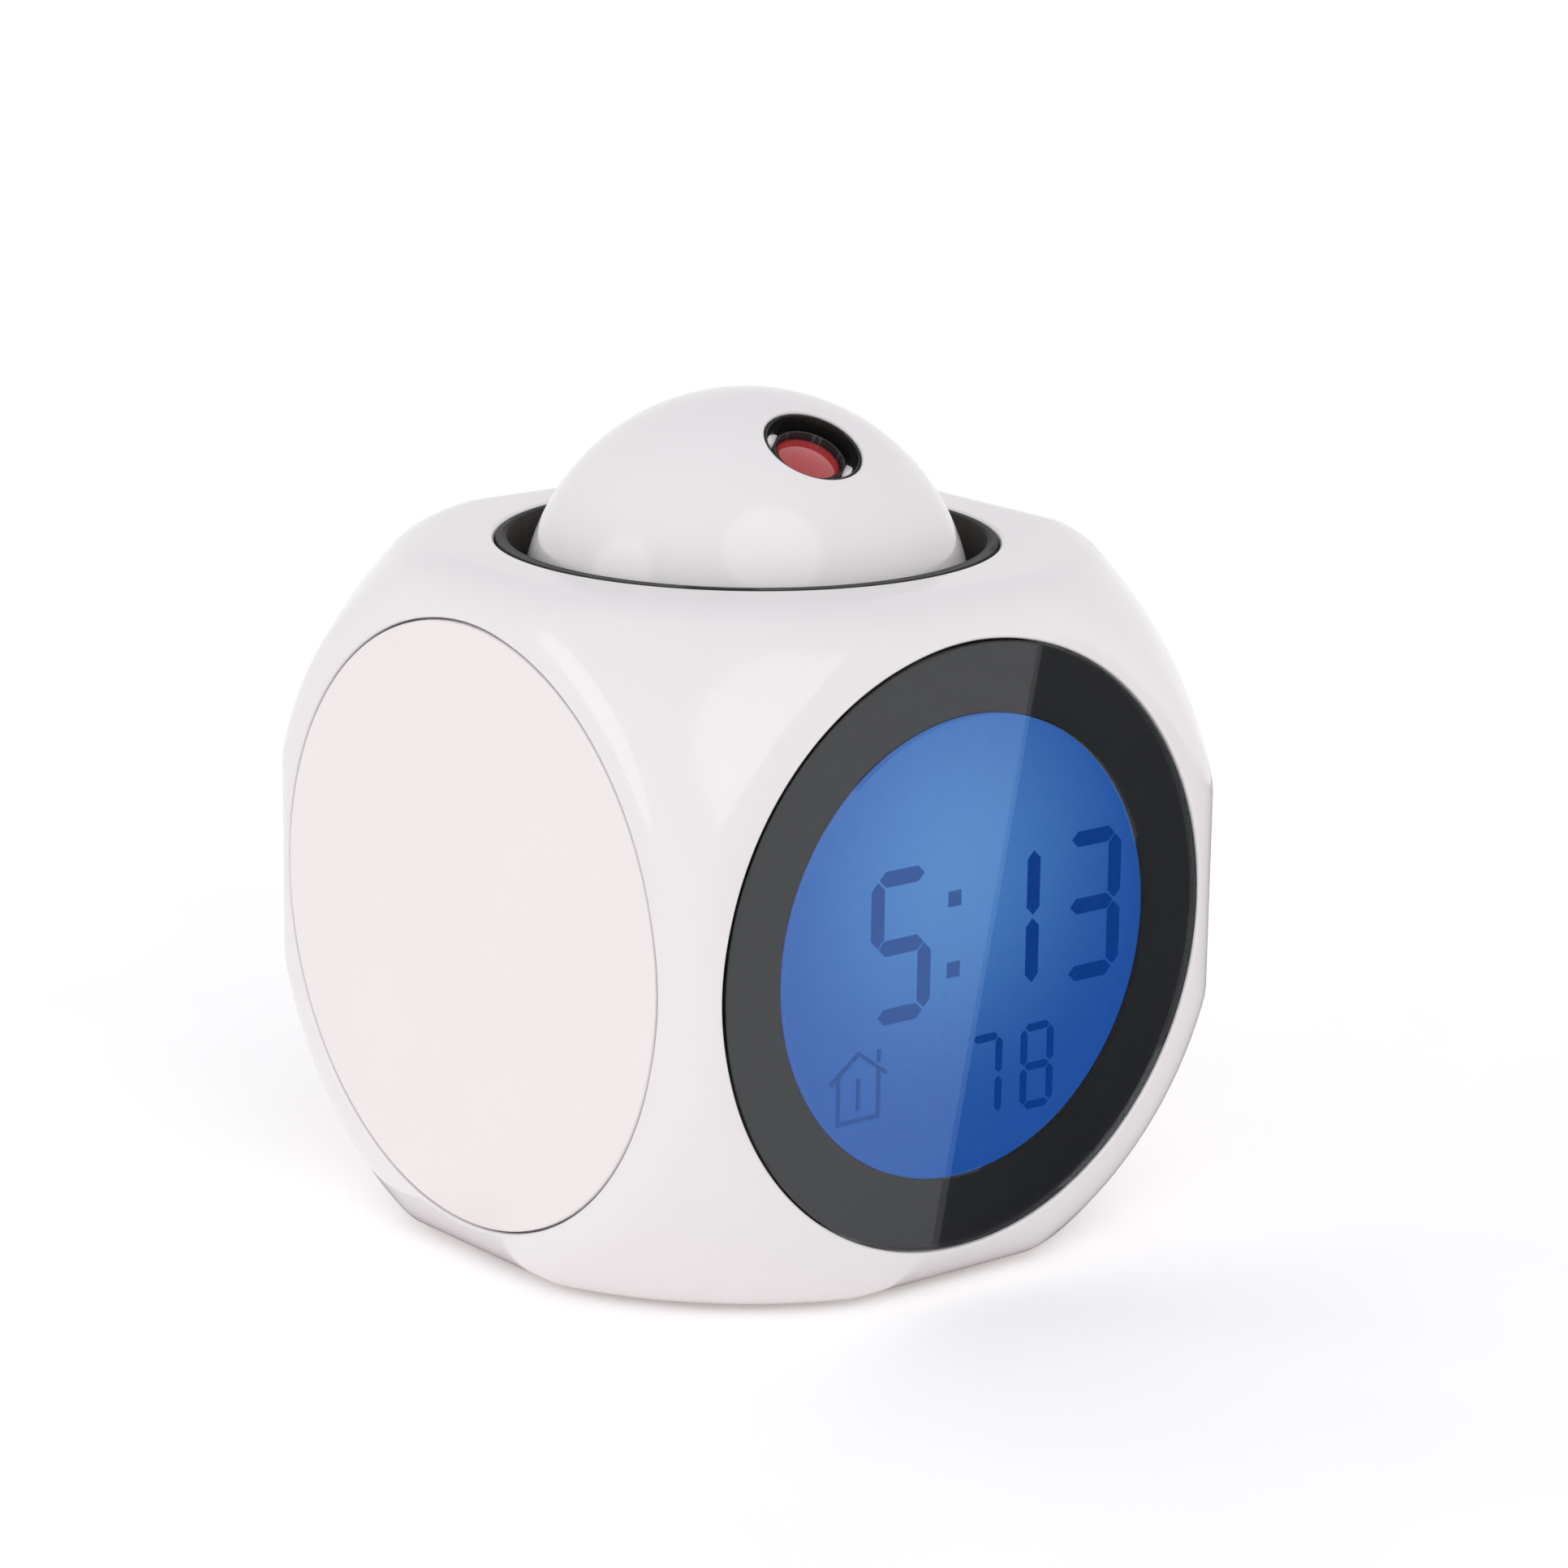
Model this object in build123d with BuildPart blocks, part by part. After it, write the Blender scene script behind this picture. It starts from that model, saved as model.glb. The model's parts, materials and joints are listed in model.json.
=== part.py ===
from build123d import *
import math
import os

# Projection alarm clock: a rounded cube on four small feet. A round display is let into its
# front, plain discs into its sides, a key and speaker panel into its back and a battery base
# into its underside. A ball on top turns and presses down in a dark well, and holds a projector.
# Millimetres, +Z up, front towards -Y, origin on the floor under the middle of the cube.

os.makedirs("parts", exist_ok=True)

# ---------------------------------------------------------------- driving dimensions

# Housing
CUBE_W = 86.0  # across the flats, side to side and front to back
CUBE_H = 85.4  # height of the housing without its feet
EDGE_R = 6.6  # rounding of the twelve edges
WALL = 2.2
LIP_R = 0.4  # rounding at the mouth of each round opening

# Round panels let into five faces, each on a ledge
RIM_BITE = 1.3  # how far the openings reach into the rounding of the nearest edges
RIM_LAND = 1.1  # flat left between an opening and the ball that takes the corners off
PANEL_T = 2.5
PANEL_GAP = 0.25  # the fine groove round each panel
LEDGE_W = 2.8
LEDGE_T = 1.5
SEAT_WALL = 1.8  # wall round the openings, behind the flats
HOOK_W = 6.0  # snap hooks that hold the panels
HOOK_T = 1.1
HOOK_BARB = 0.6

# Fasteners and fits
SCREW_R = 1.0
HEAD_R = 1.9
HEAD_T = 1.3
BOSS_WALL = 1.9
SMALL_SCREW_R = 0.75
SMALL_HEAD_R = 1.4
SMALL_HEAD_T = 0.9
SMALL_BOSS_WALL = 1.0
SMALL_SCREW_L = 4.6
HEAD_TAPER = 20  # degrees
PILOT_GAP = 0.05
HOLE_GAP = 0.2
FIT = 0.06  # running clearance of a shaft in its bore
GLUE_GAP = 0.05
MOVE_GAP = 0.3  # between pieces that move past each other

# Display
WINDOW_T = 1.0
MASK_W = 9.0  # width of the black ring round the clear part of the window
LCD_LAP = 1.2  # how far the display reaches behind the ring
LCD_T = 2.2
LCD_LIP = 2.8  # strip of the rear glass that carries the contacts
GUIDE_T = 3.0
GUIDE_CUT = 2.0  # taken off the light guide's top for the lamps
LAMP_L = 3.2
LAMP_W = 1.4
LAMP_H = 1.8
LAMP_PITCH = 12.0
STRIP_L = 23.0
STRIP_W = 2.2
SKIRT_T = 1.3
BOARD_T = 1.6
SEGMENT_T = 0.2
CHIP_R = 5.5  # the drop of resin over the chip
CHIP_H = 1.7
CAPACITOR_R = 2.5
CAPACITOR_H = 5.5
CAPACITOR_X = 15.0
CAPACITOR_Y = -12.0
CRYSTAL_R = 1.2
CRYSTAL_H = 3.6
CRYSTAL_X = -14.0
CRYSTAL_Y = -10.0
SENSOR_Y = -26.0
SOCKET_L = 8.0
SOCKET_W = 4.0
SOCKET_H = 4.5
SOCKET_X = 15.0
SOCKET_Y = 12.0
RESISTOR_L = 2.0
RESISTOR_W = 1.2
RESISTOR_H = 0.5

# Figures of the display: height, width, stroke and the place of each digit's middle
FIGURES_ROOM = 28.4  # radius of the clear window that these lengths are for
BIG_H = 18.8
BIG_W = 9.2
BIG_STROKE = 1.9
BIG_Y = 1.5
BIG_DIGITS = [("5", -9.2), ("1", 8.0), ("3", 21.2)]
SMALL_H = 10.8
SMALL_W = 5.2
SMALL_STROKE = 0.95
SMALL_Y = -17.4
SMALL_DIGITS = [("7", 4.6), ("8", 12.9)]
SEGMENT_GAP = 0.5
COLON_X = -0.9
COLON_STEP = 8.8
COLON_SIDE = 1.9
HOUSE_X = -15.4
HOUSE_Y = -14.8
HOUSE_W = 6.2
HOUSE_H = 8.2
HOUSE_ROOF = 3.1
HOUSE_EAVES = 1.2
HOUSE_STROKE = 0.5

# Rear panel: four keys over a speaker
KEY_L = 11.0
KEY_H = 5.6
KEY_PROUD = 1.0
KEY_TRAVEL = 0.7
KEY_EDGE_R = 0.45
KEY_FLANGE_W = 1.2
KEY_FLANGE_T = 0.9
KEY_STEM_R = 1.4
KEY_STEM_L = 1.4
KEY_PITCH_X = 20.0
KEY_PITCH_Y = 10.0
KEY_Y = 12.5
KEY_BOARD_W = 41.0
KEY_BOARD_H = 23.0
KEY_POST_EDGE = 2.4
SWITCH_SIDE = 6.0
SWITCH_FLOOR = 0.8
PLUNGER_R = 1.5
PLUNGER_SUNK = 1.1
PLUNGER_PROUD = 1.1
SPEAKER_R = 13.5
SPEAKER_Y = -15.5
SPEAKER_RING_T = 1.2
SPEAKER_RING_H = 3.4
SPEAKER_RIM_W = 2.4
SPEAKER_RIM_T = 0.8
SPEAKER_LUG = 1.0
BASKET_T = 0.6
BASKET_H = 4.2
MAGNET_R = 6.5
MAGNET_H = 3.2
CONE_T = 0.4
DUST_CAP_R = 3.6
DUST_CAP_H = 0.8
GRILLE_HOLE_R = 1.0
GRILLE_PITCH = 3.5

# Base: battery box for three AAA cells, door and feet
CELL_R = 5.25
CELL_L = 44.5
CELL_EDGE = 0.4
NUB_R = 1.9
NUB_L = 1.0
CELL_PITCH = 11.2
CELL_GAP = 0.15
CELL_LIFT = 0.4  # between door and cells
COIL_ROOM = 5.7  # between the foot of each cell and its contact
BOX_WALL = 1.5
BOX_CORNER_R = 2.0
DOOR_T = 1.6
DOOR_SEAT = 0.2
DOOR_LAP = 1.2
DOOR_GAP = 0.3
DOOR_CORNER_R = 3.0
DOOR_FINGER_W = 8.0
DOOR_FINGER_T = 0.8
DOOR_FINGER_H = 1.9
DOOR_FINGER_PITCH = 26.0
SCOOP_R = 5.0  # finger scoops in the base, beside the door
SCOOP_DEPTH = 1.4
CONTACT_T = 0.4
CONTACT_SIDE = 7.2
CONTACT_LINK = 2.4
COIL_WIRE_R = 0.3
COIL_R = 3.2
COIL_CONE = -12.0  # degrees
COIL_TURNS = 3
BASE_SCREW_EDGE = 4.4  # from the rim of the opening to the screws
BASE_BOSS_H = 9.0
FOOT_R = 3.5
FOOT_STAND = 0.6
FOOT_SUNK = 0.8
FOOT_EDGE = 0.3

# Ball, its well and its sprung carriage
BALL_R = 27.85
TOP_W = 3.15  # width of the dark ring between the ball and the housing
BALL_WALL = 2.0
BALL_RISE = 18.2  # top of the ball over the top of the housing
BALL_CUT = 6.0  # the ball ends this far under its middle
WELL_GAP = 0.15
WELL_WALL = 1.3
WELL_SUNK = 0.9  # the well's rim is this far under the housing's top
WELL_DEPTH = 13.0
WELL_FLOOR_T = 1.5
WELL_BALL_GAP = 0.55
TOP_SCREW_EDGE = 3.4  # from the rim of the opening to the screws
TOP_PILOT_L = 7.0
PRESS_TRAVEL = 2.0
TURN_T = 2.6
TURN_LIP = 0.1
HUB_R = 6.0
HUB_BORE_R = 4.2
HUB_WALL = 2.2
HUB_L = 4.0
CLIP_T = 0.8
CLIP_W = 2.2
CLIP_GROOVE = 0.6
CLIP_MOUTH = 6.0
CARRIAGE_T = 2.0
CARRIAGE_RIM_T = 1.2
GUIDE_RING_R = 21.0
GUIDE_POST_R = 1.5
SLEEVE_WALL = 1.2
SLEEVE_CLEAR = 1.0
SPRING_L = 9.0
SPRING_R = 3.5
SPRING_WIRE_R = 0.35
SPRING_TURNS = 4
STOP_RING_R = 11.6
STOP_R = 1.2
STOP_ARC = 180.0  # degrees that the ball can turn
CHASSIS_T = 2.0
CHASSIS_R = 27.0
CHASSIS_HOLE_R = 9.0
CHASSIS_ARM_W = 7.0
PRESS_SWITCH_X = 15.4
PRESS_BOARD_L = 12.0
PRESS_BOARD_W = 11.0
PRESS_BOARD_T = 1.2
PEG_R = 0.9
PEG_PROUD = 0.6
PEG_PITCH = 8.6
DOME_SCREW_EDGE = 4.45  # from the widest part of the ball to the screws
DOME_BOSS_R = 2.5
DOME_BOSS_H = 7.0

# Projector in the ball, along an axis that leans to the front
LENS_TILT = 31.0  # degrees from upright
LENS_YAW = -4.7  # degrees from dead ahead, as the ball is left standing
LENS_HOLE_R = 6.2
COLLAR_WALL = 1.6
COLLAR_L = 8.0
BARREL_R = 4.5
BARREL_BORE_R = 3.4
BARREL_SUNK = 1.7
BARREL_L = 11.6
LENS_R = 4.1
LENS_EDGE = 1.0
LENS_SAG = 0.8
LENS_SEAT = 1.9
SLEEVE_T = 0.4
FOCUS_RING_W = 0.6
FOCUS_RING_L = 1.4
FOCUS_EAR_W = 2.4
FOCUS_EAR_L = 3.6
TUBE_L = 17.2
TUBE_STAGE = 3.9  # the narrow part of the tube starts this far under the barrel's front
TUBE_FLANGE_T = 1.5
STAGE_WALL = 0.9
OPTIC_R = 5.0
FILM_SIDE = 6.6
FILM_T = 1.1
CONDENSER_T = 1.0
CONDENSER_SAG = 0.6
LED_R = 2.4
LED_RIM = 0.4
LED_H = 4.4
LED_TIP_R = 2.1
LED_BOARD_R = 7.4

# ---------------------------------------------------------------- derived places

CORE_W = CUBE_W - 2 * EDGE_R
CORE_H = CUBE_H - 2 * EDGE_R
FACE_R = min(CORE_W, CORE_H) / 2 + RIM_BITE  # radius of the openings
CORE_R = math.hypot(max(CORE_W, CORE_H) / 2, FACE_R + RIM_LAND)
MID_Z = FOOT_STAND + CUBE_H / 2
TOP_Z = FOOT_STAND + CUBE_H
PANEL_R = FACE_R - PANEL_GAP
LEDGE_R = FACE_R - LEDGE_W
LEDGE_BACK = PANEL_T + LEDGE_T
SKIRT_R = LEDGE_R - MOVE_GAP
BARB = MOVE_GAP + HOOK_BARB

FRONT = Plane(origin=(0, -CUBE_W / 2, MID_Z), x_dir=(1, 0, 0), z_dir=(0, -1, 0))
REAR = Plane(origin=(0, CUBE_W / 2, MID_Z), x_dir=(-1, 0, 0), z_dir=(0, 1, 0))
LEFT = Plane(origin=(-CUBE_W / 2, 0, MID_Z), x_dir=(0, -1, 0), z_dir=(-1, 0, 0))
RIGHT = Plane(origin=(CUBE_W / 2, 0, MID_Z), x_dir=(0, 1, 0), z_dir=(1, 0, 0))
BASE = Plane(origin=(0, 0, FOOT_STAND), x_dir=(1, 0, 0), z_dir=(0, 0, -1))
PANEL_FACES = [FRONT, REAR, LEFT, RIGHT, BASE]

# Display stack, as depths under the front face
MASK_R = FACE_R - MASK_W
LCD_APOTHEM = MASK_R + LCD_LAP
GUIDE_DEPTH = PANEL_T + LCD_T
BOARD_DEPTH = GUIDE_DEPTH + GUIDE_T
BOARD_BACK = BOARD_DEPTH + BOARD_T
BOARD_BOSS_R = SMALL_SCREW_R + SMALL_BOSS_WALL

# Rear panel, as depths under the rear face
KEY_FLANGE_DEPTH = PANEL_T + MOVE_GAP
KEY_STEM_DEPTH = KEY_FLANGE_DEPTH + KEY_FLANGE_T
KEY_STEM_END = KEY_STEM_DEPTH + KEY_STEM_L
KEY_SWITCH_DEPTH = KEY_STEM_END + PLUNGER_PROUD
KEY_BORE_L = PLUNGER_SUNK + KEY_TRAVEL + MOVE_GAP
KEY_BOARD_DEPTH = KEY_SWITCH_DEPTH + KEY_BORE_L + SWITCH_FLOOR
KEY_PLACES = {
    "mode_key": (-KEY_PITCH_X / 2, KEY_Y + KEY_PITCH_Y / 2),
    "set_key": (KEY_PITCH_X / 2, KEY_Y + KEY_PITCH_Y / 2),
    "up_key": (-KEY_PITCH_X / 2, KEY_Y - KEY_PITCH_Y / 2),
    "down_key": (KEY_PITCH_X / 2, KEY_Y - KEY_PITCH_Y / 2),
}
KEY_POST_R = SMALL_SCREW_R + SMALL_BOSS_WALL
SPEAKER = Plane(
    origin=REAR.from_local_coords(Vector(0, SPEAKER_Y, 0)), x_dir=REAR.x_dir, z_dir=REAR.z_dir
)

# Base, as depths over the base's outer face
BOX_L = CELL_L + COIL_ROOM + 2 * CONTACT_T
BOX_W = 2 * (CELL_PITCH + CELL_R + CELL_GAP)
CELL_DEPTH = DOOR_T + CELL_LIFT + CELL_R
CELL_Z = FOOT_STAND + CELL_DEPTH
BOX_DEPTH = CELL_DEPTH + CELL_R + CELL_GAP + BOX_WALL
CONTACT_X = BOX_L / 2 - CONTACT_T
CELL_BUTT_X = CONTACT_X - CELL_L
FOOT_X = (BOX_L / 2 + DOOR_LAP + PANEL_R) / 2
FOOT_Y = (BOX_W / 2 + DOOR_LAP + SCOOP_R + PANEL_R) / 2

# Ball and carriage, as heights
BALL_Z = TOP_Z + BALL_RISE - BALL_R
BALL_CUT_Z = BALL_Z - BALL_CUT
BALL_CUT_R = math.sqrt(BALL_R**2 - BALL_CUT**2)
TOP_R = BALL_R + TOP_W
WELL_R = TOP_R - WELL_GAP
WELL_FLOOR_Z = TOP_Z - WELL_DEPTH
WELL_UNDER_Z = WELL_FLOOR_Z - WELL_FLOOR_T
TOP_BOSS_R = SCREW_R + BOSS_WALL
TURN_Z = BALL_CUT_Z - TURN_T
CARRIAGE_Z = TURN_Z - MOVE_GAP
CARRIAGE_UNDER_Z = CARRIAGE_Z - CARRIAGE_T
CARRIAGE_RIM_R = WELL_R - WELL_WALL - WELL_GAP
CHASSIS_Z = CARRIAGE_UNDER_Z - SPRING_L
CHASSIS_UNDER_Z = CHASSIS_Z - CHASSIS_T
HUB_SLEEVE_Z = CARRIAGE_UNDER_Z - HUB_L
CLIP_Z = HUB_SLEEVE_Z - MOVE_GAP
GUIDE_BORE_R = GUIDE_POST_R + FIT
SLEEVE_L = SPRING_L - PRESS_TRAVEL - SLEEVE_CLEAR
PRESS_BORE_L = PLUNGER_SUNK + PRESS_TRAVEL + MOVE_GAP
PRESS_SWITCH_Z = CHASSIS_Z + PRESS_BOARD_T + SWITCH_FLOOR + PRESS_BORE_L

# Projector, as distances from the middle of the ball along the lens axis
TILT, YAW = math.radians(LENS_TILT), math.radians(LENS_YAW)
LENS_DIR = Vector(math.sin(TILT) * math.sin(YAW), -math.sin(TILT) * math.cos(YAW), math.cos(TILT))
LENS = Plane(origin=(0, 0, BALL_Z), x_dir=(math.cos(YAW), math.sin(YAW), 0), z_dir=LENS_DIR)
RIM_AT = math.sqrt(BALL_R**2 - LENS_HOLE_R**2)
COLLAR_R = LENS_HOLE_R + COLLAR_WALL
COLLAR_AT = math.sqrt(BALL_R**2 - COLLAR_R**2)
COLLAR_END = COLLAR_AT - COLLAR_L
BARREL_AT = RIM_AT - BARREL_SUNK
BARREL_END = BARREL_AT - BARREL_L
TUBE_R = LENS_HOLE_R - GLUE_GAP
TUBE_AT = RIM_AT - LIP_R - GLUE_GAP
SLEEVE_R = TUBE_R - SLEEVE_T
STAGE_AT = BARREL_AT - TUBE_STAGE
BORE_END = BARREL_END - MOVE_GAP
OPTIC_AT = BORE_END - STAGE_WALL
TUBE_END = STAGE_AT - TUBE_L
CONDENSER_AT = OPTIC_AT - FILM_T
LENS_AT = BARREL_AT - LENS_SEAT

# Screw patterns, each used by every piece that it goes through
TOP_SCREW_R = TOP_R + TOP_SCREW_EDGE
DOME_SCREW_R = BALL_R - DOME_SCREW_EDGE
BASE_SCREWS = PolarLocations(FACE_R - BASE_SCREW_EDGE, 4, 45)
TOP_SCREWS = PolarLocations(TOP_SCREW_R, 4, 45)
BOARD_SCREWS = PolarLocations(LCD_APOTHEM + MOVE_GAP + BOARD_BOSS_R, 4, 45)
FEET = Locations((FOOT_X, 0), (-FOOT_X, 0), (0, FOOT_Y), (0, -FOOT_Y))
GUIDES = PolarLocations(GUIDE_RING_R, 3, 90)
DOME_SCREWS = PolarLocations(DOME_SCREW_R, 3, 90 + LENS_YAW)

# ---------------------------------------------------------------- helpers


def level(z):
    """The horizontal plane at a height over the floor."""
    return Plane.XY.offset(z)


def section(plane):
    """The plane through the given plane's axis whose x is radius and whose y is height."""
    return Plane(origin=plane.origin, x_dir=plane.x_dir, z_dir=plane.x_dir.cross(plane.z_dir))


def turned(plane, points, mode=Mode.ADD):
    """A piece turned about the plane's axis from a closed outline of (radius, height) points."""
    with BuildSketch(section(plane)) as outline:
        with BuildLine():
            Polyline(*points, close=True)
        make_face()
    revolve(outline.sketch, axis=Axis(plane.origin, plane.z_dir), mode=mode)


def ring(plane, depth, thickness, outer, inner=0.0, mode=Mode.ADD):
    """A flat ring, or a disc where inner is 0, whose outer face lies at a depth under the plane."""
    with BuildSketch(plane.offset(-depth)) as outline:
        Circle(outer)
        if inner > 0:
            Circle(inner, mode=Mode.SUBTRACT)
    extrude(outline.sketch, amount=-thickness, mode=mode)


def posts(plane, depth, height, radius, places, mode=Mode.ADD):
    """Round posts or holes at places in the plane, starting at a depth under it."""
    with BuildSketch(plane.offset(-depth)) as outline:
        with places:
            Circle(radius)
    extrude(outline.sketch, amount=-height, mode=mode)


def blocks(plane, depth, height, size, places, mode=Mode.ADD):
    """Rectangular blocks or pockets at places in the plane, starting at a depth under it."""
    with BuildSketch(plane.offset(-depth)) as outline:
        with places:
            Rectangle(*size)
    extrude(outline.sketch, amount=-height, mode=mode)


def octagon(plane, depth, thickness, apothem):
    """An eight-sided plate that stands on one of its flats."""
    with BuildSketch(plane.offset(-depth)) as outline:
        RegularPolygon(apothem, 8, major_radius=False, rotation=22.5)
    extrude(outline.sketch, amount=-thickness)


def screws(plane, depth, length, places, shank_r=SCREW_R, head_r=HEAD_R, head_t=HEAD_T):
    """Pan-head screws with a cross recess, driven in from outside, heads seated at a depth."""
    with BuildSketch(plane.offset(-depth)) as heads:
        with places:
            Circle(head_r)
    extrude(heads.sketch, amount=head_t, taper=HEAD_TAPER)
    posts(plane, depth, length, shank_r, places)
    for size in [(head_r, head_r / 4), (head_r / 4, head_r)]:
        blocks(plane, depth - head_t, head_t / 2, size, places, mode=Mode.SUBTRACT)


def small_screws(plane, depth, places):
    """The small screws of the circuit boards."""
    screws(plane, depth, SMALL_SCREW_L, places, SMALL_SCREW_R, SMALL_HEAD_R, SMALL_HEAD_T)


def hooks(plane):
    """Four snap hooks behind a round panel, whose barbs catch behind the housing's ledge."""
    depth = LEDGE_BACK + MOVE_GAP
    finger_l = depth + HOOK_T - PANEL_T
    blocks(plane, PANEL_T, finger_l, (HOOK_T, HOOK_W), PolarLocations(SKIRT_R - HOOK_T / 2, 4, 45))
    blocks(plane, depth, HOOK_T, (BARB, HOOK_W), PolarLocations(SKIRT_R + BARB / 2, 4, 45))


def soften_rim(builder, centre, radius, size):
    """Rounds the circular edge of a radius about a centre."""
    circles = builder.edges().filter_by(GeomType.CIRCLE)
    near = circles.filter_by(lambda e: (e.arc_center - centre).length < 0.01)
    fillet(near.filter_by(lambda e: abs(e.radius - radius) < 0.01), size)


def save(builder, label):
    """Labels a finished piece and writes its file."""
    builder.part.label = label
    export_step(builder.part, f"parts/{label}.step")


# ---------------------------------------------------------------- housing

# The rounded cube is a smaller cube-and-ball core grown outwards by the edge radius, so
# every edge and every join of flat and ball is blended by the same radius.
with BuildPart(level(MID_Z)) as core:
    Box(CORE_W, CORE_W, CORE_H)
    Sphere(CORE_R, mode=Mode.INTERSECT)

with BuildPart() as cavity:
    add(core.part)
    offset(amount=EDGE_R - WALL, kind=Kind.ARC)

with BuildPart() as body_shell:
    add(core.part)
    offset(amount=EDGE_R, kind=Kind.ARC)
    add(cavity.part, mode=Mode.SUBTRACT)
    for face in PANEL_FACES:
        ring(face, WALL / 2, LEDGE_BACK - WALL / 2, FACE_R + SEAT_WALL)
    posts(BASE, PANEL_T, BASE_BOSS_H, TOP_BOSS_R, BASE_SCREWS)
    posts(level(TOP_Z - WALL / 2), 0, WELL_DEPTH - WALL / 2, TOP_BOSS_R, TOP_SCREWS)
    for face in PANEL_FACES:
        ring(face, 0, PANEL_T, FACE_R, mode=Mode.SUBTRACT)
        ring(face, PANEL_T, LEDGE_T, LEDGE_R, mode=Mode.SUBTRACT)
    ring(level(TOP_Z), 0, WALL, TOP_R, mode=Mode.SUBTRACT)
    pilot_r = SCREW_R + PILOT_GAP
    posts(BASE, PANEL_T, BASE_BOSS_H - BOSS_WALL, pilot_r, BASE_SCREWS, mode=Mode.SUBTRACT)
    posts(level(WELL_FLOOR_Z), -TOP_PILOT_L, TOP_PILOT_L, pilot_r, TOP_SCREWS, mode=Mode.SUBTRACT)
    for face in PANEL_FACES:
        soften_rim(body_shell, face.origin, FACE_R, LIP_R)
    soften_rim(body_shell, level(TOP_Z).origin, TOP_R, 2 * LIP_R)
save(body_shell, "body_shell")

# Plain side discs, each with a locating ring and four snap hooks
for name, face in [("left_disc", LEFT), ("right_disc", RIGHT)]:
    with BuildPart() as side_disc:
        ring(face, 0, PANEL_T, PANEL_R)
        soften_rim(side_disc, face.origin, PANEL_R, LIP_R)
        ring(face, PANEL_T, LEDGE_T / 2, SKIRT_R, SKIRT_R - HOOK_T)
        hooks(face)
    save(side_disc, name)

# ---------------------------------------------------------------- display at the front

with BuildPart() as front_window:
    ring(FRONT, 0, WINDOW_T, PANEL_R)
    soften_rim(front_window, FRONT.origin, PANEL_R, LIP_R / 2)
save(front_window, "front_window")

# The black surround: its front ring shows through the window, its skirt holds the display
with BuildPart() as display_bezel:
    turned(
        FRONT,
        [
            (MASK_R, -WINDOW_T - LIP_R),
            (MASK_R + LIP_R, -WINDOW_T),
            (PANEL_R, -WINDOW_T),
            (PANEL_R, -PANEL_T),
            (SKIRT_R, -PANEL_T),
            (SKIRT_R, -BOARD_DEPTH),
            (SKIRT_R - SKIRT_T, -BOARD_DEPTH),
            (SKIRT_R - SKIRT_T, -PANEL_T),
            (MASK_R, -PANEL_T),
        ],
    )
    posts(FRONT, PANEL_T, BOARD_DEPTH - PANEL_T, BOARD_BOSS_R, BOARD_SCREWS)
    barb_block = BARB + SKIRT_T / 2
    barb_places = PolarLocations(SKIRT_R - SKIRT_T / 2 + barb_block / 2, 4)
    blocks(FRONT, LEDGE_BACK + MOVE_GAP, HOOK_T, (barb_block, HOOK_W), barb_places)
    board_pilot_r = SMALL_SCREW_R + PILOT_GAP
    posts(FRONT, PANEL_T, BOARD_DEPTH - PANEL_T, board_pilot_r, BOARD_SCREWS, mode=Mode.SUBTRACT)
save(display_bezel, "display_bezel")

# Two glasses in one: the rear half reaches further down and carries the contacts
with BuildPart() as lcd_panel:
    octagon(FRONT, PANEL_T, LCD_T, LCD_APOTHEM)
    lip = Locations((0, LCD_LIP / 2 - LCD_APOTHEM))
    strip = (2 * LCD_APOTHEM, LCD_LIP)
    blocks(FRONT, PANEL_T, LCD_T / 2, strip, lip, mode=Mode.SUBTRACT)
save(lcd_panel, "lcd_panel")

SEGMENTS = {"1": "bc", "3": "abcdg", "5": "acdfg", "7": "abc", "8": "abcdefg"}


def segment(x, y, length, stroke, angle):
    """One bar of a digit, pointed at both ends."""
    tip, side = length / 2, stroke / 2
    upper = [(-tip, 0), (side - tip, side), (tip - side, side)]
    with Locations(Location((x, y, 0), (0, 0, angle))):
        Polygon(*upper, *[(-px, -py) for px, py in upper])


def digit(code, x, y, width, height, stroke):
    """A seven-bar digit about its middle."""
    across, half = width - stroke, (height - stroke) / 2
    bars = {
        "a": (x, y + half, across, 0),
        "b": (x + across / 2, y + half / 2, half, 90),
        "c": (x + across / 2, y - half / 2, half, 90),
        "d": (x, y - half, across, 0),
        "e": (x - across / 2, y - half / 2, half, 90),
        "f": (x - across / 2, y + half / 2, half, 90),
        "g": (x, y, across, 0),
    }
    for bar in SEGMENTS[code]:
        bar_x, bar_y, length, angle = bars[bar]
        segment(bar_x, bar_y, length - SEGMENT_GAP, stroke, angle)


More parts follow.
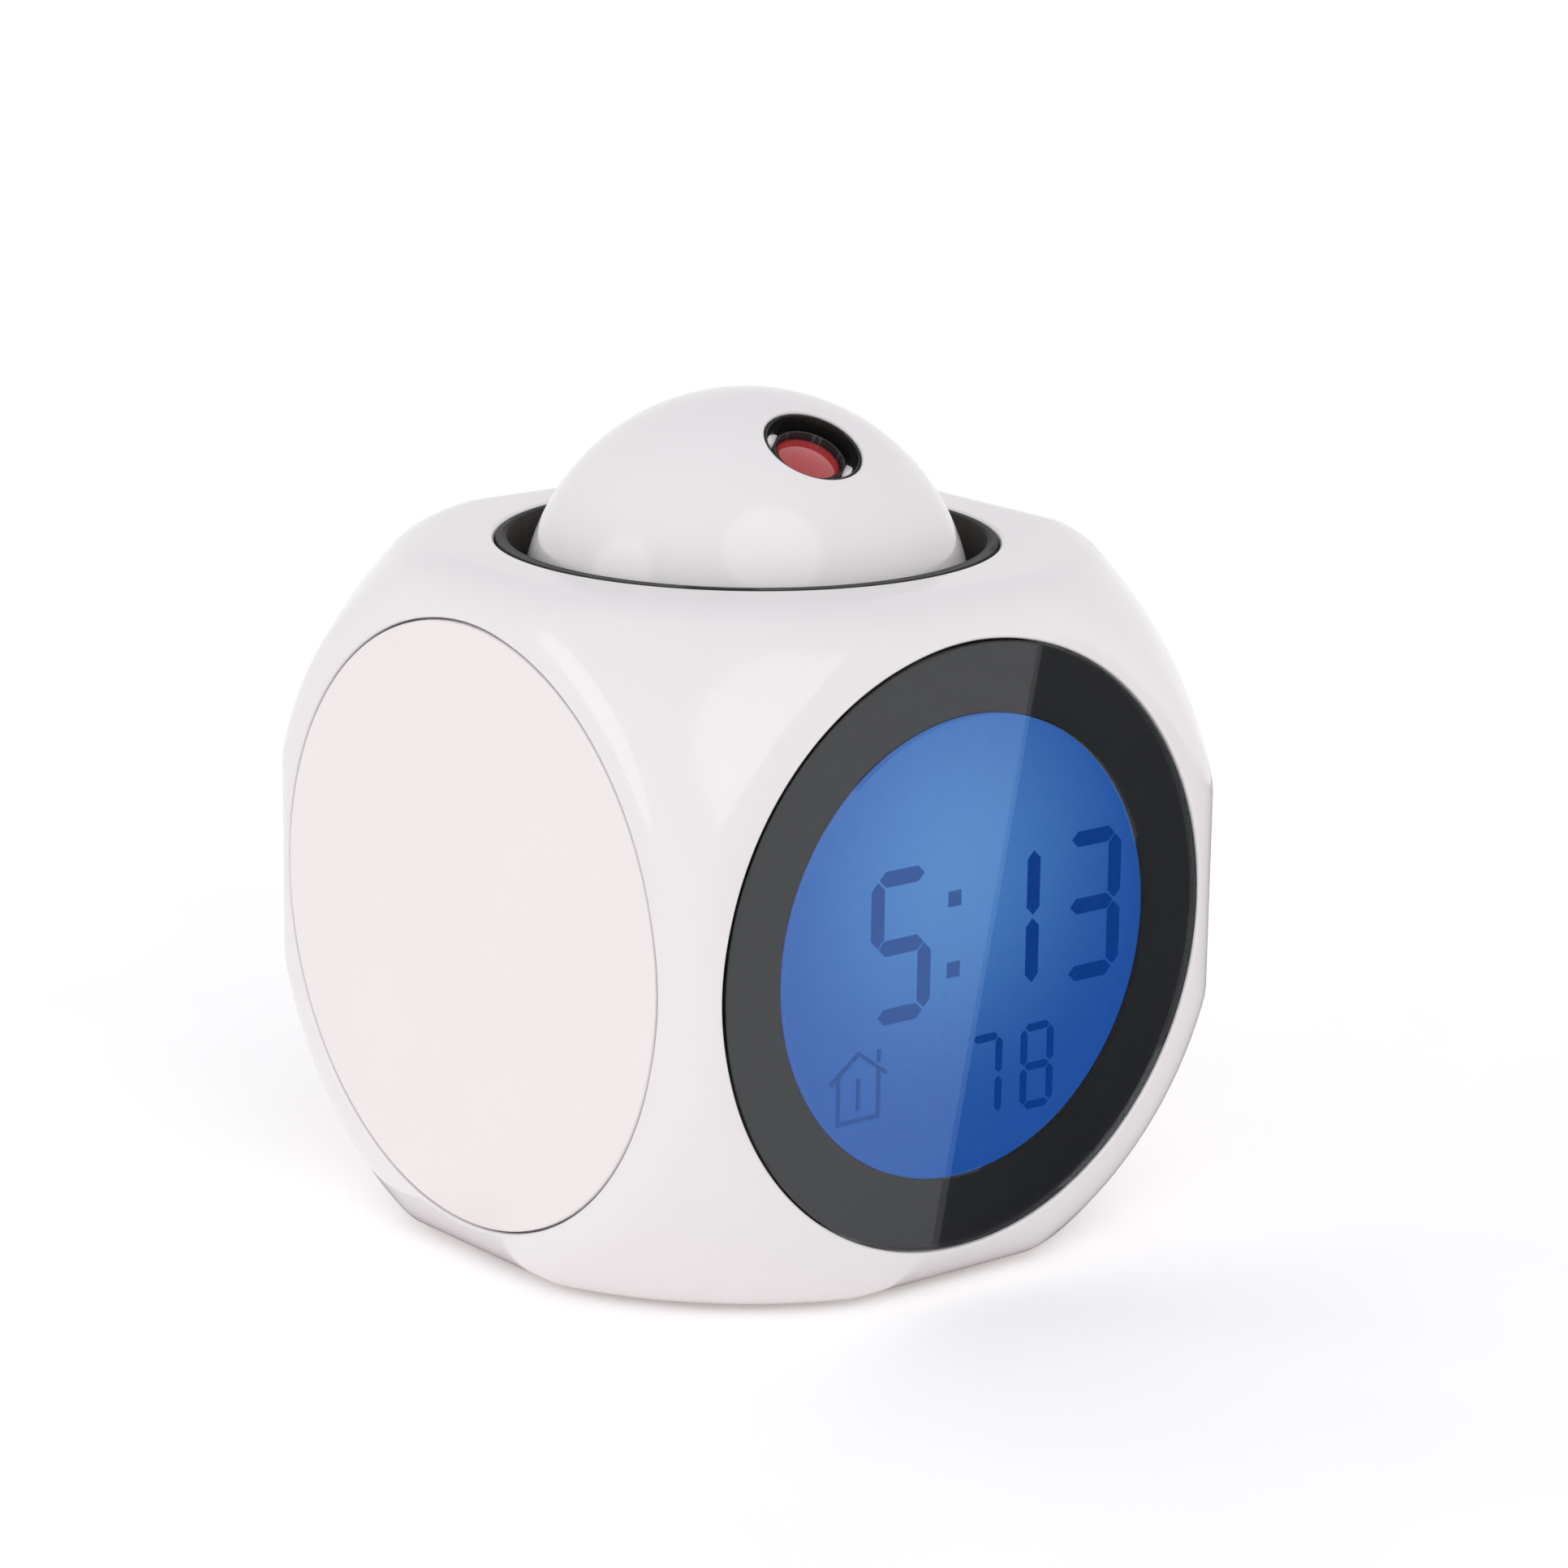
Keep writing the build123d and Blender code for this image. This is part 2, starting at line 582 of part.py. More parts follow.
# The dark bars, the colon and the house sign that the display shows
with BuildPart() as lcd_segments:
    with BuildSketch(FRONT.offset(SEGMENT_T - PANEL_T)) as figures:
        for code, x in BIG_DIGITS:
            digit(code, x, BIG_Y, BIG_W, BIG_H, BIG_STROKE)
        for code, x in SMALL_DIGITS:
            digit(code, x, SMALL_Y, SMALL_W, SMALL_H, SMALL_STROKE)
        with Locations((COLON_X, BIG_Y + COLON_STEP / 2), (COLON_X, BIG_Y - COLON_STEP / 2)):
            Rectangle(COLON_SIDE, COLON_SIDE)
        scale(by=MASK_R / FIGURES_ROOM)
    extrude(amount=-SEGMENT_T)
    with BuildSketch(FRONT.offset(SEGMENT_T - PANEL_T)) as house_sign:
        with BuildLine():
            apex = HOUSE_Y + HOUSE_H / 2
            eaves = apex - HOUSE_ROOF
            side = HOUSE_W / 2
            floor = HOUSE_Y - HOUSE_H / 2
            reach = side + HOUSE_EAVES
            Polyline((HOUSE_X - reach, eaves), (HOUSE_X, apex), (HOUSE_X + reach, eaves))
            wall_top = eaves + HOUSE_EAVES / 2
            walls = [(HOUSE_X - side, wall_top), (HOUSE_X - side, floor)]
            Polyline(*walls, (HOUSE_X + side, floor), (HOUSE_X + side, wall_top))
            Line((HOUSE_X, eaves), (HOUSE_X, floor + HOUSE_EAVES))
            Line((HOUSE_X + side, apex), (HOUSE_X + side, eaves + HOUSE_ROOF / 2))
        trace(line_width=HOUSE_STROKE)
        scale(by=MASK_R / FIGURES_ROOM)
    extrude(amount=-SEGMENT_T)
save(lcd_segments, "lcd_segments")

with BuildPart() as light_guide:
    octagon(FRONT, GUIDE_DEPTH, GUIDE_T, LCD_APOTHEM)
    top_cut = Locations((0, LCD_APOTHEM - GUIDE_CUT / 2))
    blocks(FRONT, GUIDE_DEPTH, GUIDE_T, (2 * LCD_APOTHEM, GUIDE_CUT), top_cut, mode=Mode.SUBTRACT)
    strip_room = STRIP_W + 2 * MOVE_GAP
    foot_cut = Locations((0, strip_room / 2 - LCD_APOTHEM))
    blocks(FRONT, GUIDE_DEPTH, GUIDE_T, (2 * LCD_APOTHEM, strip_room), foot_cut, mode=Mode.SUBTRACT)
save(light_guide, "light_guide")

with BuildPart() as backlight_lamps:
    lamp_y = LCD_APOTHEM - GUIDE_CUT / 2
    lamp_depth = BOARD_DEPTH - LAMP_H
    lamp_places = Locations((-LAMP_PITCH / 2, lamp_y), (LAMP_PITCH / 2, lamp_y))
    blocks(FRONT, lamp_depth, LAMP_H, (LAMP_L, LAMP_W), lamp_places)
save(backlight_lamps, "backlight_lamps")

with BuildPart() as contact_strip:
    strip_place = Locations((0, strip_room / 2 - LCD_APOTHEM))
    blocks(FRONT, GUIDE_DEPTH, GUIDE_T, (STRIP_L, STRIP_W), strip_place)
save(contact_strip, "contact_strip")

with BuildPart() as main_board:
    ring(FRONT, BOARD_DEPTH, BOARD_T, SKIRT_R - GLUE_GAP)
    board_hole_r = SMALL_SCREW_R + HOLE_GAP
    posts(FRONT, BOARD_DEPTH, BOARD_T, board_hole_r, BOARD_SCREWS, mode=Mode.SUBTRACT)
save(main_board, "main_board")

back_of_board = Plane(
    origin=FRONT.offset(-BOARD_BACK).origin, x_dir=(-1, 0, 0), z_dir=(0, 1, 0)
)

# The chip under its drop of black resin
with BuildPart() as main_chip:
    with BuildSketch(section(back_of_board)) as drop:
        with BuildLine():
            Line((0, CHIP_H), (0, 0))
            Line((0, 0), (CHIP_R, 0))
            TangentArc((0, CHIP_H), (CHIP_R, 0), tangent=(1, 0))
        make_face()
    revolve(axis=Axis(back_of_board.origin, back_of_board.z_dir))
save(main_chip, "main_chip")

# Capacitor, crystal, two plug sockets, a row of resistors and the temperature sensor's bead
with BuildPart() as board_parts:
    capacitor = Locations((CAPACITOR_X, CAPACITOR_Y))
    posts(FRONT, BOARD_BACK, CAPACITOR_H, CAPACITOR_R, capacitor)
    small_cans = Locations((CRYSTAL_X, CRYSTAL_Y), (0, SENSOR_Y))
    posts(FRONT, BOARD_BACK, CRYSTAL_H, CRYSTAL_R, small_cans)
    sockets = Locations((-SOCKET_X, SOCKET_Y), (SOCKET_X, SOCKET_Y))
    blocks(FRONT, BOARD_BACK, SOCKET_H, (SOCKET_L, SOCKET_W), sockets)
    with BuildSketch(FRONT.offset(-BOARD_BACK)) as resistors:
        with Locations((0, -3 * CHIP_R)):
            with GridLocations(2 * RESISTOR_L, 3 * RESISTOR_W, 4, 2):
                Rectangle(RESISTOR_L, RESISTOR_W)
    extrude(amount=-RESISTOR_H)
save(board_parts, "board_parts")

with BuildPart() as board_screws:
    small_screws(back_of_board, 0, BOARD_SCREWS)
save(board_screws, "board_screws")

# ---------------------------------------------------------------- keys and speaker at the back

KEY_SPOTS = Locations(*KEY_PLACES.values())
KEY_POSTS = [
    (sx * (KEY_BOARD_W / 2 - KEY_POST_EDGE), KEY_Y + sy * (KEY_BOARD_H / 2 - KEY_POST_EDGE))
    for sx in (-1, 1)
    for sy in (-1, 1)
]
SPEAKER_WALL_R = SPEAKER_R + MOVE_GAP
LUG_DEPTH = PANEL_T + SPEAKER_RIM_T + GLUE_GAP

with BuildPart() as rear_panel:
    ring(REAR, 0, PANEL_T, PANEL_R)
    soften_rim(rear_panel, REAR.origin, PANEL_R, LIP_R)
    hooks(REAR)
    posts(REAR, PANEL_T, KEY_BOARD_DEPTH - PANEL_T, KEY_POST_R, Locations(*KEY_POSTS))
    pilot_l = KEY_BOARD_DEPTH - PANEL_T
    posts(REAR, PANEL_T, pilot_l, board_pilot_r, Locations(*KEY_POSTS), mode=Mode.SUBTRACT)
    wall_outer = SPEAKER_WALL_R + SPEAKER_RING_T
    ring(SPEAKER, PANEL_T, SPEAKER_RING_H, wall_outer, SPEAKER_WALL_R)
    lug_l = SPEAKER_LUG + MOVE_GAP + SPEAKER_RING_T / 2
    lugs = PolarLocations(SPEAKER_R - SPEAKER_LUG + lug_l / 2, 3, 90)
    blocks(SPEAKER, LUG_DEPTH, SPEAKER_LUG, (lug_l, HOOK_W), lugs)
    with BuildSketch(REAR) as key_holes:
        with KEY_SPOTS:
            SlotOverall(KEY_L + 2 * MOVE_GAP, KEY_H + 2 * MOVE_GAP)
    extrude(amount=-PANEL_T, mode=Mode.SUBTRACT)
    for circle, count in enumerate([1, 6, 12]):
        holes = PolarLocations(circle * GRILLE_PITCH, count)
        posts(SPEAKER, 0, PANEL_T, GRILLE_HOLE_R, holes, mode=Mode.SUBTRACT)
save(rear_panel, "rear_panel")

# Each key is a capped bar with a flange that stops it behind the panel, and a stem that
# rests on the plunger of its switch
for name, spot in KEY_PLACES.items():
    with BuildPart() as key:
        with BuildSketch(REAR.offset(KEY_PROUD)) as cap:
            with Locations(spot):
                SlotOverall(KEY_L, KEY_H)
        extrude(amount=-KEY_PROUD - KEY_FLANGE_DEPTH)
        fillet(key.faces().sort_by(Axis.Y)[-1].edges(), KEY_EDGE_R)
        with BuildSketch(REAR.offset(-KEY_FLANGE_DEPTH)) as flange:
            with Locations(spot):
                SlotOverall(KEY_L + 2 * KEY_FLANGE_W, KEY_H + 2 * KEY_FLANGE_W)
        extrude(amount=-KEY_FLANGE_T)
        posts(REAR, KEY_STEM_DEPTH, KEY_STEM_L, KEY_STEM_R, Locations(spot))
    save(key, name)
    with BuildPart() as plunger:
        posts(REAR, KEY_STEM_END, PLUNGER_PROUD + PLUNGER_SUNK, PLUNGER_R, Locations(spot))
    save(plunger, name.replace("key", "plunger"))

with BuildPart() as key_switches:
    switch_h = KEY_BOARD_DEPTH - KEY_SWITCH_DEPTH
    blocks(REAR, KEY_SWITCH_DEPTH, switch_h, (SWITCH_SIDE, SWITCH_SIDE), KEY_SPOTS)
    switch_bore_r = PLUNGER_R + PILOT_GAP
    posts(REAR, KEY_SWITCH_DEPTH, KEY_BORE_L, switch_bore_r, KEY_SPOTS, mode=Mode.SUBTRACT)
save(key_switches, "key_switches")

with BuildPart() as key_board:
    middle = Locations((0, KEY_Y))
    blocks(REAR, KEY_BOARD_DEPTH, BOARD_T, (KEY_BOARD_W, KEY_BOARD_H), middle)
    posts(REAR, KEY_BOARD_DEPTH, BOARD_T, board_hole_r, Locations(*KEY_POSTS), mode=Mode.SUBTRACT)
save(key_board, "key_board")

with BuildPart() as key_board_screws:
    behind = Plane(
        origin=REAR.offset(-KEY_BOARD_DEPTH - BOARD_T).origin, x_dir=(1, 0, 0), z_dir=(0, -1, 0)
    )
    small_screws(behind, 0, Locations(*KEY_POSTS))
save(key_board_screws, "key_board_screws")

RIM_IN = SPEAKER_R - SPEAKER_RIM_W
BASKET_BACK = PANEL_T + BASKET_H
BACK_R = MAGNET_R + BASKET_T

with BuildPart() as speaker_basket:
    turned(
        SPEAKER,
        [
            (RIM_IN, -PANEL_T),
            (SPEAKER_R, -PANEL_T),
            (SPEAKER_R, -PANEL_T - SPEAKER_RIM_T),
            (RIM_IN + BASKET_T, -PANEL_T - SPEAKER_RIM_T),
            (BACK_R + BASKET_T, -BASKET_BACK),
            (0, -BASKET_BACK),
            (0, BASKET_T - BASKET_BACK),
            (BACK_R, BASKET_T - BASKET_BACK),
            (RIM_IN, -PANEL_T - SPEAKER_RIM_T),
        ],
    )
save(speaker_basket, "speaker_basket")

# The cone hangs in the basket's rim, with a domed cap over its middle
with BuildPart() as speaker_cone:
    cone_r = RIM_IN - GLUE_GAP
    cone_top = -PANEL_T - CONE_T
    cone_low = cone_top - BASKET_H / 2
    turned(
        SPEAKER,
        [
            (cone_r, cone_top),
            (cone_r, cone_top - CONE_T),
            (DUST_CAP_R, cone_low - CONE_T),
            (0, cone_low - CONE_T),
            (0, cone_low + DUST_CAP_H),
            (DUST_CAP_R / 2, cone_low + 3 * DUST_CAP_H / 4),
            (DUST_CAP_R, cone_low),
        ],
    )
save(speaker_cone, "speaker_cone")

with BuildPart() as speaker_magnet:
    ring(SPEAKER, BASKET_BACK, MAGNET_H, MAGNET_R)
    chamfer(speaker_magnet.faces().sort_by(Axis.Y)[0].edges(), CELL_EDGE)
save(speaker_magnet, "speaker_magnet")

# ---------------------------------------------------------------- base and battery box

DOOR_L = BOX_L + 2 * (DOOR_LAP - DOOR_GAP)
DOOR_W = BOX_W + 2 * (DOOR_LAP - DOOR_GAP)
CELL_ROWS = [-CELL_PITCH, 0, CELL_PITCH]
CELL_TURNS = [1, -1, 1]  # which way each cell's nub points

# The battery box is a roof with three troughs over an open box, so each cell lies in its own
with BuildPart() as base_plate:
    ring(BASE, 0, PANEL_T, PANEL_R)
    soften_rim(base_plate, BASE.origin, PANEL_R, LIP_R)
    with BuildSketch(BASE.offset(-PANEL_T)) as box_outline:
        RectangleRounded(BOX_L + 2 * BOX_WALL, BOX_W + 2 * BOX_WALL, BOX_CORNER_R)
    extrude(amount=PANEL_T - BOX_DEPTH)
    blocks(BASE, 0, CELL_DEPTH, (BOX_L, BOX_W), Locations((0, 0)), mode=Mode.SUBTRACT)
    with BuildSketch(Plane.YZ.offset(-BOX_L / 2)) as troughs:
        with Locations(*[(row, CELL_Z) for row in CELL_ROWS]):
            Circle(CELL_R + CELL_GAP)
    extrude(amount=BOX_L, mode=Mode.SUBTRACT)
    with BuildSketch(BASE) as door_recess:
        RectangleRounded(BOX_L + 2 * DOOR_LAP, BOX_W + 2 * DOOR_LAP, DOOR_CORNER_R)
    extrude(amount=-DOOR_T - DOOR_SEAT, mode=Mode.SUBTRACT)
    scoops = Locations((0, -BOX_W / 2 - DOOR_LAP), (0, BOX_W / 2 + DOOR_LAP))
    posts(BASE, 0, SCOOP_DEPTH, SCOOP_R, scoops, mode=Mode.SUBTRACT)
    posts(BASE, 0, FOOT_SUNK, FOOT_R + GLUE_GAP, FEET, mode=Mode.SUBTRACT)
    head_room = HEAD_T + GLUE_GAP
    posts(BASE, 0, head_room, HEAD_R + HOLE_GAP, BASE_SCREWS, mode=Mode.SUBTRACT)
    posts(BASE, 0, PANEL_T, SCREW_R + HOLE_GAP, BASE_SCREWS, mode=Mode.SUBTRACT)
save(base_plate, "base_plate")

with BuildPart() as base_screws:
    screws(BASE, head_room, BASE_BOSS_H - BOSS_WALL, BASE_SCREWS)
save(base_screws, "base_screws")

with BuildPart() as rubber_feet:
    posts(level(FOOT_STAND + FOOT_SUNK), 0, FOOT_STAND + FOOT_SUNK, FOOT_R, FEET)
    chamfer(rubber_feet.faces().group_by(Axis.Z)[0].edges(), FOOT_EDGE)
save(rubber_feet, "rubber_feet")

# The door lies in the base on a lap all round, held by four springy fingers
with BuildPart() as battery_door:
    with BuildSketch(BASE) as door_outline:
        RectangleRounded(DOOR_L, DOOR_W, DOOR_CORNER_R - DOOR_GAP)
    extrude(amount=-DOOR_T)
    finger_y = BOX_W / 2 - DOOR_GAP - DOOR_FINGER_T / 2
    fingers = GridLocations(DOOR_FINGER_PITCH, 2 * finger_y, 2, 2)
    blocks(BASE, DOOR_T, DOOR_FINGER_H, (DOOR_FINGER_W, DOOR_FINGER_T), fingers)
save(battery_door, "battery_door")

with BuildPart() as cell_profile:
    turned(
        Plane.XY,
        [
            (0, 0),
            (CELL_R - CELL_EDGE, 0),
            (CELL_R, CELL_EDGE),
            (CELL_R, CELL_L - NUB_L - CELL_EDGE),
            (CELL_R - CELL_EDGE, CELL_L - NUB_L),
            (NUB_R, CELL_L - NUB_L),
            (NUB_R, CELL_L),
            (0, CELL_L),
        ],
    )

for name, row, way in zip(["front", "middle", "rear"], CELL_ROWS, CELL_TURNS):
    butt = Plane(origin=(way * CELL_BUTT_X, row, CELL_Z), x_dir=(0, 1, 0), z_dir=(way, 0, 0))
    with BuildPart(butt) as cell:
        add(cell_profile.part)
    save(cell, f"{name}_cell")

# Contact plates stand at both ends; a link joins each pair that the cells put in series
with BuildPart() as battery_contacts:
    for end in (-1, 1):
        wall = Plane(origin=(end * CONTACT_X, 0, CELL_Z), x_dir=(0, end, 0), z_dir=(end, 0, 0))
        with BuildSketch(wall) as plates:
            with Locations(*[(row, 0) for row in CELL_ROWS]):
                Rectangle(CONTACT_SIDE, CONTACT_SIDE)
            with Locations((-CELL_PITCH / 2, (CONTACT_LINK - CONTACT_SIDE) / 2)):
                Rectangle(CELL_PITCH, CONTACT_LINK)
        extrude(amount=CONTACT_T)
save(battery_contacts, "battery_contacts")

COIL_L = 2 * CONTACT_X - CELL_L - 2 * COIL_WIRE_R

with BuildPart() as coil:
    with BuildLine() as coil_path:
        Helix(COIL_L / COIL_TURNS, COIL_L, COIL_R, cone_angle=COIL_CONE)
    with BuildSketch(Plane(origin=coil_path.line @ 0, z_dir=coil_path.line % 0)):
        Circle(COIL_WIRE_R)
    sweep(path=coil_path.line)

with BuildPart() as battery_springs:
    for row, way in zip(CELL_ROWS, CELL_TURNS):
        foot_x = way * (COIL_WIRE_R - CONTACT_X)
        seat = Plane(origin=(foot_x, row, CELL_Z), x_dir=(0, 1, 0), z_dir=(way, 0, 0))
        add(seat.location * coil.part)
save(battery_springs, "battery_springs")

# ---------------------------------------------------------------- well, carriage and chassis

with BuildPart() as well_ring:
    turned(
        Plane.XY,
        [
            (WELL_R, WELL_UNDER_Z),
            (WELL_R, TOP_Z - WELL_SUNK),
            (WELL_R - WELL_WALL, TOP_Z - WELL_SUNK),
            (WELL_R - WELL_WALL, WELL_FLOOR_Z),
            (BALL_R + WELL_BALL_GAP, WELL_FLOOR_Z),
            (BALL_R + WELL_BALL_GAP, WELL_UNDER_Z),
        ],
    )
    ear_l = TOP_SCREW_R - WELL_R + WELL_WALL
    ear_places = PolarLocations(TOP_SCREW_R - ear_l / 2, 4, 45)
    blocks(level(WELL_FLOOR_Z), 0, WELL_FLOOR_T, (ear_l, 2 * TOP_BOSS_R), ear_places)
    posts(level(WELL_FLOOR_Z), 0, WELL_FLOOR_T, TOP_BOSS_R, TOP_SCREWS)
    ear_hole_r = SCREW_R + HOLE_GAP
    posts(level(WELL_FLOOR_Z), 0, WELL_FLOOR_T, ear_hole_r, TOP_SCREWS, mode=Mode.SUBTRACT)
save(well_ring, "well_ring")

# The chassis hangs on four pillars under the well, and carries posts, springs and switch
with BuildPart() as chassis:
    ring(level(CHASSIS_Z), 0, CHASSIS_T, CHASSIS_R)
    arm_l = TOP_SCREW_R - CHASSIS_HOLE_R
    arms = PolarLocations(TOP_SCREW_R - arm_l / 2, 4, 45)
    blocks(level(CHASSIS_Z), 0, CHASSIS_T, (arm_l, CHASSIS_ARM_W), arms)
    pillar_l = WELL_UNDER_Z - CHASSIS_UNDER_Z
    posts(level(WELL_UNDER_Z), 0, pillar_l, TOP_BOSS_R, TOP_SCREWS)
    posts(level(WELL_UNDER_Z), 0, pillar_l, ear_hole_r, TOP_SCREWS, mode=Mode.SUBTRACT)
    ring(level(CHASSIS_Z), 0, CHASSIS_T, CHASSIS_HOLE_R, mode=Mode.SUBTRACT)
    guide_l = SPRING_L - MOVE_GAP
    posts(level(CHASSIS_Z + guide_l), 0, guide_l, GUIDE_POST_R, GUIDES)
    pegs = Locations(*[(PRESS_SWITCH_X, side * PEG_PITCH / 2) for side in (-1, 1)])
    peg_l = PRESS_BOARD_T + PEG_PROUD
    posts(level(CHASSIS_Z + peg_l), 0, peg_l, PEG_R, pegs)
save(chassis, "chassis")

with BuildPart() as chassis_screws:
    underside = Plane(origin=(0, 0, CHASSIS_UNDER_Z), x_dir=(1, 0, 0), z_dir=(0, 0, -1))
    reach = WELL_FLOOR_Z + TOP_PILOT_L - BOSS_WALL - CHASSIS_UNDER_Z
    screws(underside, 0, reach, TOP_SCREWS)
save(chassis_screws, "chassis_screws")

with BuildPart() as press_board:
    board_place = Locations((PRESS_SWITCH_X, 0))
    board_size = (PRESS_BOARD_L, PRESS_BOARD_W)
    blocks(level(CHASSIS_Z + PRESS_BOARD_T), 0, PRESS_BOARD_T, board_size, board_place)
    peg_hole_r = PEG_R + GLUE_GAP
    posts(level(CHASSIS_Z + PRESS_BOARD_T), 0, PRESS_BOARD_T, peg_hole_r, pegs, mode=Mode.SUBTRACT)
save(press_board, "press_board")

with BuildPart() as press_switch:
    switch_h = SWITCH_FLOOR + PRESS_BORE_L
    switch_size = (SWITCH_SIDE, SWITCH_SIDE)
    blocks(level(PRESS_SWITCH_Z), 0, switch_h, switch_size, board_place)
    posts(level(PRESS_SWITCH_Z), 0, PRESS_BORE_L, switch_bore_r, board_place, mode=Mode.SUBTRACT)
save(press_switch, "press_switch")

with BuildPart() as press_plunger:
    plunger_l = CARRIAGE_UNDER_Z - PRESS_SWITCH_Z + PLUNGER_SUNK
    posts(level(CARRIAGE_UNDER_Z), 0, plunger_l, PLUNGER_R, board_place)
save(press_plunger, "press_plunger")

# The carriage is a shallow tray that slides on the chassis's posts, with a bearing for the
# ball's hub and an arc slot that stops the ball's turning
with BuildPart() as press_carriage:
    ring(level(CARRIAGE_Z), 0, CARRIAGE_T, CARRIAGE_RIM_R)
    rim_h = WELL_UNDER_Z - MOVE_GAP - CARRIAGE_Z
    rim_in = CARRIAGE_RIM_R - CARRIAGE_RIM_T
    ring(level(WELL_UNDER_Z - MOVE_GAP), 0, rim_h, CARRIAGE_RIM_R, rim_in)
    ring(level(CARRIAGE_UNDER_Z), 0, HUB_L, HUB_R + FIT + HUB_WALL)
    posts(level(CARRIAGE_UNDER_Z), 0, SLEEVE_L, GUIDE_BORE_R + SLEEVE_WALL, GUIDES)
    ring(level(CARRIAGE_Z), 0, CARRIAGE_T + HUB_L, HUB_R + FIT, mode=Mode.SUBTRACT)
    posts(level(CARRIAGE_Z), 0, CARRIAGE_T + SLEEVE_L, GUIDE_BORE_R, GUIDES, mode=Mode.SUBTRACT)
    with BuildSketch(level(CARRIAGE_Z)) as stop_slot:
        with BuildLine():
            stop_arc = CenterArc((0, 0), STOP_RING_R, 180 - STOP_ARC / 2, STOP_ARC)
        SlotArc(arc=stop_arc, height=2 * (STOP_R + MOVE_GAP))
    extrude(amount=-CARRIAGE_T, mode=Mode.SUBTRACT)
save(press_carriage, "press_carriage")

with BuildPart() as spring_coil:
    coil_l = SPRING_L - 2 * SPRING_WIRE_R
    with BuildLine() as spring_path:
        Helix(coil_l / SPRING_TURNS, coil_l, SPRING_R)
    with BuildSketch(Plane(origin=spring_path.line @ 0, z_dir=spring_path.line % 0)):
        Circle(SPRING_WIRE_R)
    sweep(path=spring_path.line)

with BuildPart(level(CHASSIS_Z + SPRING_WIRE_R)) as return_springs:
    with GUIDES:
        add(spring_coil.part)
save(return_springs, "return_springs")

# ---------------------------------------------------------------- ball

with BuildPart(level(BALL_Z)) as ball_dome:
    Sphere(BALL_R)
    Sphere(BALL_R - BALL_WALL, mode=Mode.SUBTRACT)
    split(bisect_by=level(BALL_CUT_Z), keep=Keep.TOP)
    ring(LENS, -COLLAR_AT, COLLAR_L, COLLAR_R)
    dome_boss_top = BALL_CUT_Z + DOME_BOSS_H
    posts(level(dome_boss_top), 0, DOME_BOSS_H, DOME_BOSS_R, DOME_SCREWS)
    ring(LENS, -BALL_R, BALL_R - COLLAR_END, LENS_HOLE_R, mode=Mode.SUBTRACT)
    pilot_top = dome_boss_top - BOSS_WALL
    pilot_l = pilot_top - BALL_CUT_Z
    posts(level(pilot_top), 0, pilot_l, pilot_r, DOME_SCREWS, mode=Mode.SUBTRACT)
    rim_centre = LENS.origin + LENS.z_dir * RIM_AT
    soften_rim(ball_dome, rim_centre, LENS_HOLE_R, LIP_R)
save(ball_dome, "ball_dome")

# The turntable closes the ball from below; its hub turns in the carriage
with BuildPart() as turntable:
    ring(level(BALL_CUT_Z), 0, TURN_T, BALL_CUT_R - TURN_LIP)
    hub_end = CLIP_Z - 2 * CLIP_T
    ring(level(TURN_Z), 0, TURN_Z - hub_end, HUB_R)
    stop_places = PolarLocations(STOP_RING_R, 1, 180 + LENS_YAW)
    posts(level(TURN_Z), 0, CARRIAGE_T, STOP_R, stop_places)
    ring(level(BALL_CUT_Z), 0, BALL_CUT_Z - hub_end, HUB_BORE_R, mode=Mode.SUBTRACT)
    groove_t = CLIP_T + 2 * GLUE_GAP
    turned(
        Plane.XY,
        [
            (HUB_R - CLIP_GROOVE, CLIP_Z + GLUE_GAP),
            (HUB_R + CLIP_GROOVE, CLIP_Z + GLUE_GAP),
            (HUB_R + CLIP_GROOVE, CLIP_Z + GLUE_GAP - groove_t),
            (HUB_R - CLIP_GROOVE, CLIP_Z + GLUE_GAP - groove_t),
        ],
        mode=Mode.SUBTRACT,
    )
    recess = HEAD_T + GLUE_GAP
    posts(level(TURN_Z + recess), 0, recess, HEAD_R + HOLE_GAP, DOME_SCREWS, mode=Mode.SUBTRACT)
    posts(level(BALL_CUT_Z), 0, TURN_T, SCREW_R + HOLE_GAP, DOME_SCREWS, mode=Mode.SUBTRACT)
save(turntable, "turntable")

with BuildPart() as dome_screws:
    under_turntable = Plane(origin=(0, 0, TURN_Z), x_dir=(1, 0, 0), z_dir=(0, 0, -1))
    dome_reach = DOME_BOSS_H - BOSS_WALL
    flipped = PolarLocations(DOME_SCREW_R, 3, -90 - LENS_YAW)
    screws(under_turntable, recess, dome_reach, flipped)
save(dome_screws, "dome_screws")

with BuildPart() as hub_clip:
    clip_in = HUB_R - CLIP_GROOVE + GLUE_GAP
    ring(level(CLIP_Z), 0, CLIP_T, clip_in + CLIP_W, clip_in)
    mouth = Locations((0, clip_in + CLIP_W / 2))
    blocks(level(CLIP_Z), 0, CLIP_T, (CLIP_MOUTH, 2 * CLIP_W), mouth, mode=Mode.SUBTRACT)
save(hub_clip, "hub_clip")

# ---------------------------------------------------------------- projector in the ball

